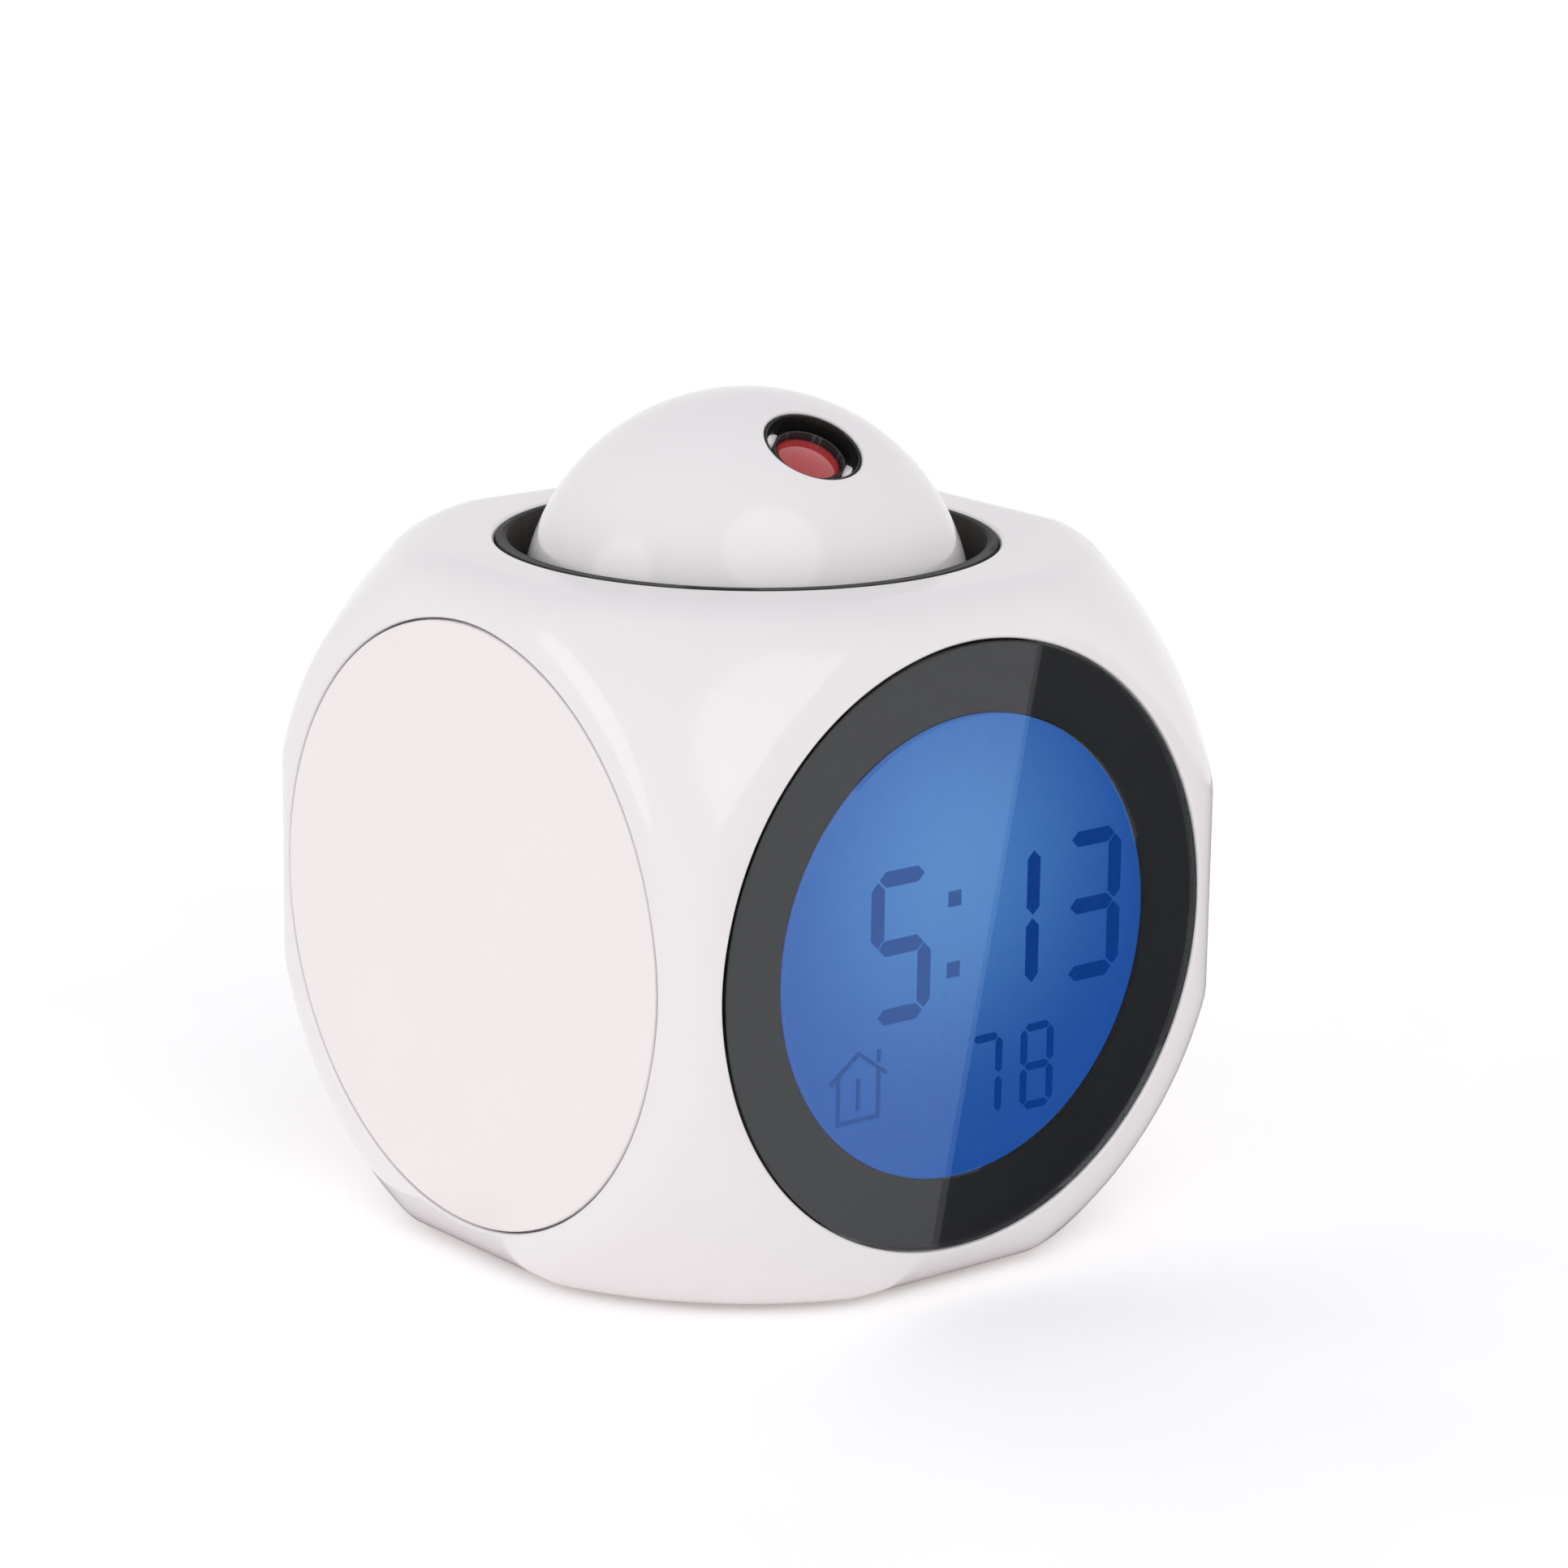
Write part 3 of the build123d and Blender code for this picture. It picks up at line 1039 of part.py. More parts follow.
# A stepped tube: its front lines the hole in the ball, its bore carries the lens barrel,
# and its rear holds the condenser and the film over the lamp
with BuildPart() as projector_tube:
    ring(LENS, -TUBE_AT, TUBE_AT - TUBE_END, TUBE_R)
    ring(LENS, -COLLAR_END, TUBE_FLANGE_T, COLLAR_R)
    ring(LENS, -TUBE_AT, TUBE_AT - STAGE_AT, SLEEVE_R, mode=Mode.SUBTRACT)
    ring(LENS, -STAGE_AT, STAGE_AT - BORE_END, BARREL_R + FIT, mode=Mode.SUBTRACT)
    ring(LENS, -BORE_END, STAGE_WALL, BARREL_BORE_R, mode=Mode.SUBTRACT)
    ring(LENS, -OPTIC_AT, OPTIC_AT - TUBE_END, OPTIC_R, mode=Mode.SUBTRACT)
save(projector_tube, "projector_tube")

with BuildPart() as lens_barrel:
    ring(LENS, -BARREL_AT, BARREL_L, BARREL_R, BARREL_BORE_R)
    ring(LENS, -BARREL_AT, LENS_SEAT, LENS_R + GLUE_GAP, mode=Mode.SUBTRACT)
save(lens_barrel, "lens_barrel")

# A low white ring on the barrel with two ears to turn it by, which sets the focus
with BuildPart() as focus_ring:
    ring_in = BARREL_R + GLUE_GAP / 2
    ring_out = BARREL_R + FOCUS_RING_W
    ring_at = STAGE_AT + MOVE_GAP + FOCUS_RING_L
    ring(LENS, -ring_at, FOCUS_RING_L, ring_out, ring_in)
    ear_out = SLEEVE_R - MOVE_GAP
    ear_w = ear_out - ring_in
    ears = PolarLocations(ring_in + ear_w / 2, 2, -45)
    ear_at = ring_at - FOCUS_RING_L + FOCUS_EAR_L
    with BuildSketch(LENS.offset(ear_at)) as ear_outline:
        with ears:
            Rectangle(ear_w, FOCUS_EAR_W)
        Circle(ear_out, mode=Mode.INTERSECT)
        Circle(ring_in, mode=Mode.SUBTRACT)
    extrude(amount=-FOCUS_EAR_L)
save(focus_ring, "focus_ring")

with BuildPart() as projector_lens:
    with BuildSketch(section(LENS)) as lens_outline:
        with BuildLine():
            Line((0, LENS_AT), (LENS_R, LENS_AT))
            Line((LENS_R, LENS_AT), (LENS_R, LENS_AT + LENS_EDGE))
            crown_at = LENS_AT + LENS_EDGE + LENS_SAG
            TangentArc((0, crown_at), (LENS_R, LENS_AT + LENS_EDGE), tangent=(1, 0))
            Line((0, crown_at), (0, LENS_AT))
        make_face()
    revolve(lens_outline.sketch, axis=Axis(LENS.origin, LENS.z_dir))
save(projector_lens, "projector_lens")

with BuildPart() as projection_film:
    with BuildSketch(LENS.offset(OPTIC_AT)):
        Rectangle(FILM_SIDE, FILM_SIDE)
    extrude(amount=-FILM_T)
save(projection_film, "projection_film")

with BuildPart() as condenser_lens:
    turned(
        LENS,
        [
            (0, CONDENSER_AT),
            (OPTIC_R - GLUE_GAP, CONDENSER_AT),
            (OPTIC_R - GLUE_GAP, CONDENSER_AT - CONDENSER_T),
            (OPTIC_R / 2, CONDENSER_AT - CONDENSER_T - 3 * CONDENSER_SAG / 4),
            (0, CONDENSER_AT - CONDENSER_T - CONDENSER_SAG),
        ],
    )
save(condenser_lens, "condenser_lens")

with BuildPart() as projector_lamp:
    ring(LENS, -TUBE_END - 2 * LED_RIM, 2 * LED_RIM, LED_R + LED_RIM)
    ring(LENS, -TUBE_END - LED_H, LED_H, LED_R)
    fillet(projector_lamp.faces().sort_by(Axis(LENS.origin, LENS.z_dir))[-1].edges(), LED_TIP_R)
save(projector_lamp, "projector_lamp")

with BuildPart() as lamp_board:
    ring(LENS, -TUBE_END, PRESS_BOARD_T, LED_BOARD_R)
save(lamp_board, "lamp_board")
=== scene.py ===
"""A projection alarm clock: a rounded cube with a round display and a turning projector ball."""

import json
import math

import bmesh
import bpy
import numpy as np
from mathutils import Matrix, Vector


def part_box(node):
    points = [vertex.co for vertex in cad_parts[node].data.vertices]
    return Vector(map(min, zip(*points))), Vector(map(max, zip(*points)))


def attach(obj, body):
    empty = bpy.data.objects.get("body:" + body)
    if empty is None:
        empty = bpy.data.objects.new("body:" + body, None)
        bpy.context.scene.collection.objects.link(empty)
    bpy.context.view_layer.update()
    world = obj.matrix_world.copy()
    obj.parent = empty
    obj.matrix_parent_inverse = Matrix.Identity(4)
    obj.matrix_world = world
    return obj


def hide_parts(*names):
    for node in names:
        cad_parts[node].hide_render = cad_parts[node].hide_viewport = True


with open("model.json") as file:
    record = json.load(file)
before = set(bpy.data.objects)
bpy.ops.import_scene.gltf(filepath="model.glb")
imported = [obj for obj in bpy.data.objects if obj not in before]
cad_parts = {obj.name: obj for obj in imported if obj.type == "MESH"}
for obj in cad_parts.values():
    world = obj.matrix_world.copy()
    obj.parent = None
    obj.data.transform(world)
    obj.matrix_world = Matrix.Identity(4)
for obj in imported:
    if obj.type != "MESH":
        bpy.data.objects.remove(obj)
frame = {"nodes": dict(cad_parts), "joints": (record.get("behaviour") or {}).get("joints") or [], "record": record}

bl_info = {
    "name": "Projection Alarm Clock",
    "version": (1, 0, 0),
    "blender": (4, 5, 0),
    "location": "View3D > Sidebar > Clock",
    "description": "Dresses the packed model of a projection alarm clock",
    "category": "Object",
}

MM = 0.001

# ---------------------------------------------------------------- places read from the frame

SHELL_LOW, SHELL_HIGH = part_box("body_shell")
MIDDLE = (SHELL_LOW + SHELL_HIGH) / 2
HALF = (SHELL_HIGH - SHELL_LOW) / 2
PANEL_R = (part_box("front_window")[1].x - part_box("front_window")[0].x) / 2
WINDOW_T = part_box("front_window")[1].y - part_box("front_window")[0].y
DOME_LOW, DOME_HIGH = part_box("ball_dome")
BALL_R = (DOME_HIGH.x - DOME_LOW.x) / 2
BALL_MIDDLE = Vector((0, 0, DOME_HIGH.z - BALL_R))
FOCUS = next(joint for joint in frame["joints"] if joint["name"] == "lens_focus")
LENS_AXIS = Vector(FOCUS["axis"]).normalized()
SLOTS = {part["node"]: part["material_slot"] for part in frame["record"]["subparts"]}


def facing(origin, outward, up=Vector((0, 0, 1))):
    """The matrix that takes local +Z to the outward direction, seated at origin."""
    side = up.cross(outward).normalized()
    turn = Matrix((side, outward.cross(side), outward)).transposed()
    return Matrix.Translation(origin) @ turn.to_4x4()


FRONT = facing(Vector((0, SHELL_LOW.y, MIDDLE.z)), Vector((0, -1, 0)))
LEFT = facing(Vector((SHELL_LOW.x, 0, MIDDLE.z)), Vector((-1, 0, 0)))
RIGHT = facing(Vector((SHELL_HIGH.x, 0, MIDDLE.z)), Vector((1, 0, 0)))
REAR = facing(Vector((0, SHELL_HIGH.y, MIDDLE.z)), Vector((0, 1, 0)))
BASE = facing(Vector((0, 0, SHELL_LOW.z)), Vector((0, 0, -1)), Vector((0, 1, 0)))
TOP = facing(Vector((0, 0, SHELL_HIGH.z)), Vector((0, 0, 1)), Vector((0, 1, 0)))
LENS = facing(BALL_MIDDLE, LENS_AXIS)

# ---------------------------------------------------------------- settings


def size(name, text, millimetres):
    """A length that a user can change."""
    return bpy.props.FloatProperty(
        name=name, description=text, default=millimetres * MM, unit="LENGTH", precision=5
    )


def angle(name, text, degrees):
    """An angle that a user can change."""
    return bpy.props.FloatProperty(
        name=name, description=text, default=math.radians(degrees), subtype="ANGLE"
    )


def colour(name, text, code):
    """A colour that a user can change, given as an sRGB hex value."""
    return bpy.props.FloatVectorProperty(
        name=name, description=text, default=linear(code), subtype="COLOR", size=4, min=0, max=1
    )


def linear(code):
    """The scene-linear colour of an sRGB hex value."""
    channels = [int(code[i : i + 2], 16) / 255 for i in (1, 3, 5)]
    values = [c / 12.92 if c <= 0.04045 else ((c + 0.055) / 1.055) ** 2.4 for c in channels]
    return (*values, 1.0)


class ClockHousing(bpy.types.PropertyGroup):
    """Sizes and colours of the housing and its panels."""

    opening_r: size("Opening radius", "Radius of the five round panel openings", 37.4)
    top_r: size("Top radius", "Radius of the opening round the ball", 31.0)
    edge_r: size("Edge radius", "Rounding where the flats meet", 6.6)
    corner_r: size("Corner radius", "Radius of the ball that takes the corners off", 59.58)
    wall: size("Wall", "Thickness of the moulded wall", 2.2)
    lip_r: size("Lip radius", "Rounding at the mouth of each opening", 0.4)
    ledge_w: size("Ledge width", "How far the ledge behind each panel stands in", 2.8)
    ledge_t: size("Ledge thickness", "Thickness of the ledge behind each panel", 1.5)
    seat_w: size("Seat width", "How far the ledge reaches out into the wall", 1.3)
    play: size("Play", "Room between pieces that are clipped together", 0.3)
    hook_t: size("Hook thickness", "Thickness of the clips behind the panels", 1.1)
    panel_t: size("Panel thickness", "Thickness of the round panels", 2.5)
    shell: colour("Shell", "Glossy white of the housing and the ball", "#EDEBEC")
    panel: colour("Panels", "Satin white of the round panels", "#F1ECEB")


class ClockDisplay(bpy.types.PropertyGroup):
    """Sizes and colours of the display."""

    mask_r: size("Mask radius", "Radius of the clear part of the window", 28.4)
    rim_w: size("Rim width", "Width of the bright rim at the mask's edge", 0.2)
    print_gap: size("Print gap", "Air between the window and the mask", 0.02)
    undercut: size("Undercut", "How much wider the mask's hole is at its back", 1.1)
    skirt_t: size("Skirt thickness", "Wall of the ring that holds the display", 1.3)
    bezel: colour("Surround", "Black of the ring round the display", "#302F30")
    lit: colour("Backlight", "Brightest blue of the display", "#4A80C4")
    dim: colour("Backlight edge", "Darkest blue of the display", "#2354A6")
    mirror: colour("Half-mirror", "Tint of the coating behind the window", "#A8D8FF")
    figures: colour("Figures", "Dark blue of the display's figures", "#063C8C")


class ClockBall(bpy.types.PropertyGroup):
    """Sizes and colours of the ball and its projector."""

    wall: size("Ball wall", "Thickness of the ball's wall", 2.0)
    hole_r: size("Lens hole radius", "Radius of the hole for the projector", 6.2)
    collar_w: size("Collar wall", "Wall of the collar inside the lens hole", 1.6)
    collar_l: size("Collar length", "Length of the collar inside the lens hole", 8.0)
    rim_depth: size("Rim depth", "From the housing's top down to the rim of the well", 0.06)
    lens: colour("Lens", "Dark red of the projector's lens", "#A62D2E")


class ClockStage(bpy.types.PropertyGroup):
    """The camera's place and the floor's colour."""

    azimuth: angle("Azimuth", "Turn of the view, nought from the front", -39.5)
    elevation: angle("Elevation", "Height of the view over the floor", 14.6)
    roll: angle("Roll", "Tilt of the frame", -0.81)
    distance: size("Distance", "From the camera to what it looks at", 650.96)
    lens: bpy.props.FloatProperty(
        name="Focal length", description="Focal length on a 36 mm frame", default=120.25, min=1
    )
    floor: colour("Floor", "Colour of the pale floor", "#FFFFFF")


# ---------------------------------------------------------------- mesh tools

TURN_STEPS = 192
ROUND_STEPS = 4
JOIN = 1e-6  # vertices closer than this are one
SEAM = 1e-5  # the same, where the patches of the shell meet
SHARP = math.radians(40)  # a sharper edge shades as an edge
FLAT_COSINE = 0.99999  # a face is flat whose normal is this close to a panel's axis


def finish_mesh(name, bm, body, slot, nodes):
    """Makes a finished piece of a bmesh, in place of the CAD nodes that it stands for."""
    bmesh.ops.recalc_face_normals(bm, faces=bm.faces)
    mesh = bpy.data.meshes.new(name)
    bm.to_mesh(mesh)
    bm.free()
    return finish_piece(name, mesh, body, slot, nodes)


def finish_piece(name, mesh, body, slot, nodes):
    """Shades a mesh as smooth between its sharp edges, hangs it on its body and hides the CAD nodes that it stands
    for.
    """
    mesh.shade_smooth()
    mesh.set_sharp_from_angle(angle=SHARP)
    mesh.materials.clear()
    mesh.materials.append(FINISHES[slot])
    piece = bpy.data.objects.new(name, mesh)
    bpy.context.scene.collection.objects.link(piece)
    flats = piece.modifiers.new("Flats", "WEIGHTED_NORMAL")
    flats.keep_sharp = True
    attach(piece, body)
    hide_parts(*nodes)
    return piece


def smooth_copy(node):
    """A copy of a CAD node with its loose triangles merged, so that its curves shade smoothly."""
    body = next(b for b, nodes in frame["record"]["behaviour"]["bodies"].items() if node in nodes)
    bm = bmesh.new()
    bm.from_mesh(frame["nodes"][node].data)
    bmesh.ops.remove_doubles(bm, verts=bm.verts, dist=JOIN)
    mesh = bpy.data.meshes.new(f"{node}_moulded")
    bm.to_mesh(mesh)
    bm.free()
    return finish_piece(f"{node}_moulded", mesh, body, SLOTS[node], [node])


def turned(outline, place):
    """A bmesh of a closed (radius, height) outline, turned about the axis of a place."""
    bm = bmesh.new()
    points = [bm.verts.new((radius, 0, height)) for radius, height in outline]
    edges = [bm.edges.new(pair) for pair in zip(points, points[1:] + points[:1])]
    bmesh.ops.spin(
        bm,
        geom=points + edges,
        cent=(0, 0, 0),
        axis=(0, 0, 1),
        angle=2 * math.pi,
        steps=TURN_STEPS,
        use_merge=True,
    )
    bmesh.ops.remove_doubles(bm, verts=bm.verts, dist=JOIN)
    bmesh.ops.transform(bm, matrix=place, verts=bm.verts)
    return bm


def round_edges(bm, radius, chosen):
    """Rounds the sharp edges that a test picks out."""
    sharp = [e for e in bm.edges if e.is_manifold and e.calc_face_angle() > SHARP and chosen(e)]
    bmesh.ops.bevel(
        bm,
        geom=sharp,
        offset=radius,
        offset_type="OFFSET",
        segments=ROUND_STEPS,
        profile=0.5,
        affect="EDGES",
        material=-1,
        clamp_overlap=True,
    )


def arc(centre, radius, start, end, steps):
    """Points of an arc in an outline, with angles from the outline's height axis."""
    angles = [start + (end - start) * i / steps for i in range(steps + 1)]
    return [(centre[0] + radius * math.sin(a), centre[1] + radius * math.cos(a)) for a in angles]


# ---------------------------------------------------------------- finishes

NOISE_LOW, NOISE_HIGH = 0.3, 0.7  # where most of a noise's values lie
PLAIN_IOR = 1.35  # of the window over the black print
COATED_IOR = 1.5  # of its clear part, with the half-mirror
BRIGHT_SPOT = (-1 * MM, SHELL_LOW.y + 3 * MM, MIDDLE.z + 10 * MM)
GLOW_REACH = 34 * MM  # from the bright spot to where the display is dimmest


def add_node(tree, kind, inputs=None, **settings):
    """Adds a node with its settings, and sets or links its inputs."""
    made = tree.nodes.new(kind)
    for key, value in settings.items():
        setattr(made, key, value)
    for key, value in (inputs or {}).items():
        if isinstance(value, bpy.types.NodeSocket):
            tree.links.new(value, made.inputs[key])
        else:
            made.inputs[key].default_value = value
    return made


def grain(tree, millimetres, detail=2.0):
    """Noise whose grains have a real size, on the piece's own coordinates."""
    place = add_node(tree, "ShaderNodeTexCoord").outputs["Object"]
    inputs = {"Vector": place, "Scale": 1 / (millimetres * MM), "Detail": detail}
    return add_node(tree, "ShaderNodeTexNoise", inputs).outputs["Fac"]


def blend(tree, factor, first, second, low=NOISE_LOW, high=NOISE_HIGH):
    """A colour between two, as a factor goes from low to high."""
    ramp = add_node(tree, "ShaderNodeValToRGB", {"Fac": factor})
    ramp.color_ramp.elements[0].position = low
    ramp.color_ramp.elements[0].color = first
    ramp.color_ramp.elements[1].position = high
    ramp.color_ramp.elements[1].color = second
    return ramp.outputs["Color"]


def spread(tree, factor, low, high):
    """A number between two, as noise goes from its usual low to its usual high."""
    inputs = {"Value": factor, "From Min": NOISE_LOW, "From Max": NOISE_HIGH}
    inputs |= {"To Min": low, "To Max": high}
    return add_node(tree, "ShaderNodeMapRange", inputs).outputs["Result"]


def between(tree, factor, low, high):
    """A number that goes from low to high as a factor goes from nought to one."""
    inputs = {"Value": factor, "To Min": low, "To Max": high}
    return add_node(tree, "ShaderNodeMapRange", inputs).outputs["Result"]


def distance_from(tree, middle, ways=(1, 1, 1)):
    """How far a point of the piece is from a middle, measured along some ways only."""
    place = add_node(tree, "ShaderNodeTexCoord").outputs["Object"]
    for value, operation in ((middle, "SUBTRACT"), (ways, "MULTIPLY")):
        step = add_node(tree, "ShaderNodeVectorMath", {0: place, 1: value}, operation=operation)
        place = step.outputs["Vector"]
    return add_node(tree, "ShaderNodeVectorMath", {0: place}, operation="LENGTH").outputs["Value"]


def relief(tree, height, micrometres):
    """A bump of a real depth."""
    inputs = {"Height": height, "Strength": 1.0, "Distance": micrometres * 1e-6}
    return add_node(tree, "ShaderNodeBump", inputs).outputs["Normal"]


def shaded(name, build):
    """A material whose Principled shader takes what build returns."""
    material = bpy.data.materials.new(name)
    material.use_nodes = True
    tree = material.node_tree
    tree.nodes.clear()
    shader = add_node(tree, "ShaderNodeBsdfPrincipled", build(tree))
    add_node(tree, "ShaderNodeOutputMaterial", {"Surface": shader.outputs["BSDF"]})
    return material


def tinted(base, share):
    """The same colour, made darker or lighter by a share."""
    return (*[min(1.0, c * share) for c in base[:3]], 1.0)


def gloss_abs(base):
    """Polished ABS: a bright skin with a trace of the mould's ripple under it."""

    def build(tree):
        ripple = grain(tree, 6.0)
        return {
            "Base Color": blend(tree, grain(tree, 30.0), tinted(base, 0.985), base),
            "Roughness": spread(tree, ripple, 0.10, 0.16),
            "IOR": 1.53,
            "Subsurface Weight": 0.06,
            "Subsurface Radius": (1.0, 0.9, 0.85),
            "Subsurface Scale": 0.8 * MM,
            "Normal": relief(tree, ripple, 3.0),
        }

    return shaded("Gloss ABS", build)


def satin_abs(base):
    """Spark-eroded ABS: a fine even grain that spreads the highlights."""

    def build(tree):
        fine = grain(tree, 0.35, detail=3.0)
        return {
            "Base Color": blend(tree, grain(tree, 22.0), tinted(base, 0.985), base),
            "Roughness": spread(tree, fine, 0.34, 0.46),
            "IOR": 1.53,
            "Normal": relief(tree, fine, 6.0),
        }

    return shaded("Satin ABS", build)


def clear_acrylic(mask_r, coat):
    """Cast acrylic, flat and polished, with a bluish half-mirror behind its clear part."""

    def build(tree):
        far = distance_from(tree, (0, 0, MIDDLE.z), ways=(1, 0, 1))
        inside = add_node(tree, "ShaderNodeMath", {0: far, 1: mask_r}, operation="LESS_THAN")
        inside = inside.outputs["Value"]
        return {
            "Base Color": linear("#F4F8FA"),
            "Roughness": spread(tree, grain(tree, 12.0), 0.0, 0.004),
            "IOR": between(tree, inside, PLAIN_IOR, COATED_IOR),
            "Specular Tint": blend(tree, inside, (1, 1, 1, 1), coat, 0.0, 1.0),
            "Transmission Weight": 1.0,
        }

    return shaded("Clear acrylic", build)


def black_print(base):
    """Black screen print on the back of a window: even, with the faint grain of its mesh."""

    def build(tree):
        mesh_marks = grain(tree, 1.5)
        return {
            "Base Color": blend(tree, mesh_marks, tinted(base, 0.97), tinted(base, 1.03)),
            "Roughness": spread(tree, mesh_marks, 0.54, 0.55),
            "Specular IOR Level": 0.2,
        }

    return shaded("Black print", build)


def backlit_glass(lit, dim):
    """Display glass over a blue light guide, brightest where the lamps' light gathers."""

    def build(tree):
        inputs = {"Value": distance_from(tree, BRIGHT_SPOT), "From Max": GLOW_REACH}
        fall = add_node(tree, "ShaderNodeMapRange", inputs, interpolation_type="SMOOTHSTEP")
        glow = blend(tree, fall.outputs["Result"], lit, dim, 0.0, 1.0)
        return {
            "Base Color": linear("#04081C"),
            "Roughness": spread(tree, grain(tree, 4.0), 0.25, 0.30),
            "Specular IOR Level": 0.1,
            "Emission Color": glow,
            "Emission Strength": 1.0,
        }

    return shaded("Backlit glass", build)


def dark_crystal(base):
    """Switched liquid crystal: deep blue, with a little of the backlight coming through."""

    def build(tree):
        return {
            "Base Color": linear("#04081C"),
            "Roughness": spread(tree, grain(tree, 0.4), 0.25, 0.35),
            "Specular IOR Level": 0.1,
            "Emission Color": blend(tree, grain(tree, 1.5), tinted(base, 0.92), base),
            "Emission Strength": 1.0,
        }

    return shaded("Dark crystal", build)


def black_abs(code, roughness, specular):
    """Black moulded ABS with a fine texture that greys it a little where light grazes."""
    base = linear(code)

    def build(tree):
        fine = grain(tree, 0.3, detail=3.0)
        return {
            "Base Color": blend(tree, fine, tinted(base, 0.8), tinted(base, 1.2)),
            "Roughness": spread(tree, fine, roughness, roughness + 0.1),
            "Specular IOR Level": specular,
            "Normal": relief(tree, fine, 4.0),
        }

    return shaded("Black ABS", build)


def red_acrylic(base):
    """Red lens acrylic, lit from behind by the lamp."""

    def build(tree):
        return {
            "Base Color": blend(tree, grain(tree, 3.0), tinted(base, 0.9), base),
            "Roughness": spread(tree, grain(tree, 2.0), 0.05, 0.10),
            "Coat Weight": 1.0,
            "Coat Roughness": 0.03,
            "Emission Color": tinted(base, 0.8),
            "Emission Strength": 0.25,
        }

    return shaded("Red acrylic", build)


def soft_rubber():
    """Moulded grey rubber, dull, with a fine bloom."""

    def build(tree):
        bloom = grain(tree, 0.6, detail=4.0)
        return {
            "Base Color": blend(tree, bloom, linear("#3A3A3C"), linear("#4A4A4C")),
            "Roughness": spread(tree, bloom, 0.65, 0.8),
            "Normal": relief(tree, bloom, 10.0),
        }

    return shaded("Soft rubber", build)


def zinc_steel():
    """Zinc-plated steel: a cool bright metal with crystals of the plating."""

    def build(tree):
        crystals = grain(tree, 0.4)
        return {
            "Base Color": blend(tree, crystals, linear("#B4B6BA"), linear("#C8CACD")),
            "Metallic": 1.0,
            "Roughness": spread(tree, crystals, 0.25, 0.40),
        }

    return shaded("Zinc-plated steel", build)


def plain_plastic(name, code, roughness=0.45):
    """A moulded inner plastic with a fine matt grain."""
    base = linear(code)

    def build(tree):
        fine = grain(tree, 0.5, detail=3.0)
        return {
            "Base Color": blend(tree, fine, tinted(base, 0.93), base),
            "Roughness": spread(tree, fine, roughness, roughness + 0.12),
            "Normal": relief(tree, fine, 5.0),
        }

    return shaded(name, build)


# ---------------------------------------------------------------- the housing's skin

OPENING_STEPS = 192
LIP_STEPS = 5
PATCH_RINGS = 14
TRACE_STEPS = 40  # enough to bring a point within a hair of the skin


def core_distance(points, half, radius):
    """Distance of each point from the housing's core, a box whose corners a ball cuts off."""
    nearest, from_box, from_ball = points.copy(), np.zeros_like(points), np.zeros_like(points)
    for _ in range(TRACE_STEPS):
        boxed = np.clip(nearest + from_box, -half, half)
        from_box += nearest - boxed
        length = np.linalg.norm(boxed + from_ball, axis=1, keepdims=True)
        balled = (boxed + from_ball) * np.minimum(1.0, radius / np.maximum(length, JOIN))
        from_ball += boxed - balled
        nearest = balled
    return np.linalg.norm(points - nearest, axis=1)


def onto_skin(verts, directions, sizes, inset):
    """Moves vertices along their directions onto the housing's skin, or that far under it."""
    places = np.array([v.co - MIDDLE for v in verts])
    inward = np.array(directions)
    half = np.array(HALF) - sizes.edge_r
    for _ in range(TRACE_STEPS):
        gap = core_distance(places, half, sizes.corner_r - sizes.edge_r) - sizes.edge_r + inset
        places += inward * gap[:, None]
    for vert, place in zip(verts, places):
        vert.co = Vector(place) + MIDDLE


def first_ring(bm, place, radius, sizes, inset):
    """A ring about a face's axis that lies on the skin, or that far under it."""
    made = bmesh.ops.create_circle(bm, segments=OPENING_STEPS, radius=radius, matrix=place)["verts"]
    axis = -place.to_3x3().col[2]
    onto_skin(made, [axis] * len(made), sizes, inset)
    return made


def extruded(bm, ring):
    """Extrudes a ring and returns the new one."""
    inside = set(ring)
    edges = {e for v in ring for e in v.link_edges if inside.issuperset(e.verts)}
    made = bmesh.ops.extrude_edge_only(bm, edges=list(edges))["geom"]
    return [g for g in made if isinstance(g, bmesh.types.BMVert)]


def stepped(bm, ring, place, radius, lower=0.0, depth=None):
    """Extrudes a ring to a new radius, lower by a step or down to a depth of its own."""
    ring = extruded(bm, ring)
    inverse = place.inverted()
    for vert in ring:
        local = inverse @ vert.co
        flat = local.xy.normalized() * radius
        vert.co = place @ Vector((*flat, local.z - lower if depth is None else -depth))
    return ring


def source_of(vert, ring):
    """The vertex of a ring that a new vertex was extruded from."""
    return next(e.other_vert(vert) for e in vert.link_edges if e.other_vert(vert) in ring)


def out_to_edges(bm, ring, place, sizes, inset):
    """Extrudes a ring along the skin, in even steps, out to the cube's edges."""
    inverse = place.inverted()
    half = Vector(map(abs, inverse.to_3x3() @ HALF))
    start = inverse @ ring[0].co
    radius = start.xy.length * half.z / (half.z + start.z)
    flats = {vert: (inverse @ vert.co).xy.normalized() for vert in ring}
    patch = []
    for step in range(1, PATCH_RINGS + 1):
        ring = extruded(bm, flats)
        flats = {vert: flats[source_of(vert, flats)] for vert in ring}
        for vert, flat in flats.items():
            edge = flat / max(abs(flat.x), abs(flat.y))
            reach = (flat * radius).lerp(edge * half.xy, step / PATCH_RINGS)
            vert.co = place @ Vector((*reach, 0))
        patch += ring
    onto_skin(patch, [(MIDDLE - v.co).normalized() for v in patch], sizes, inset)


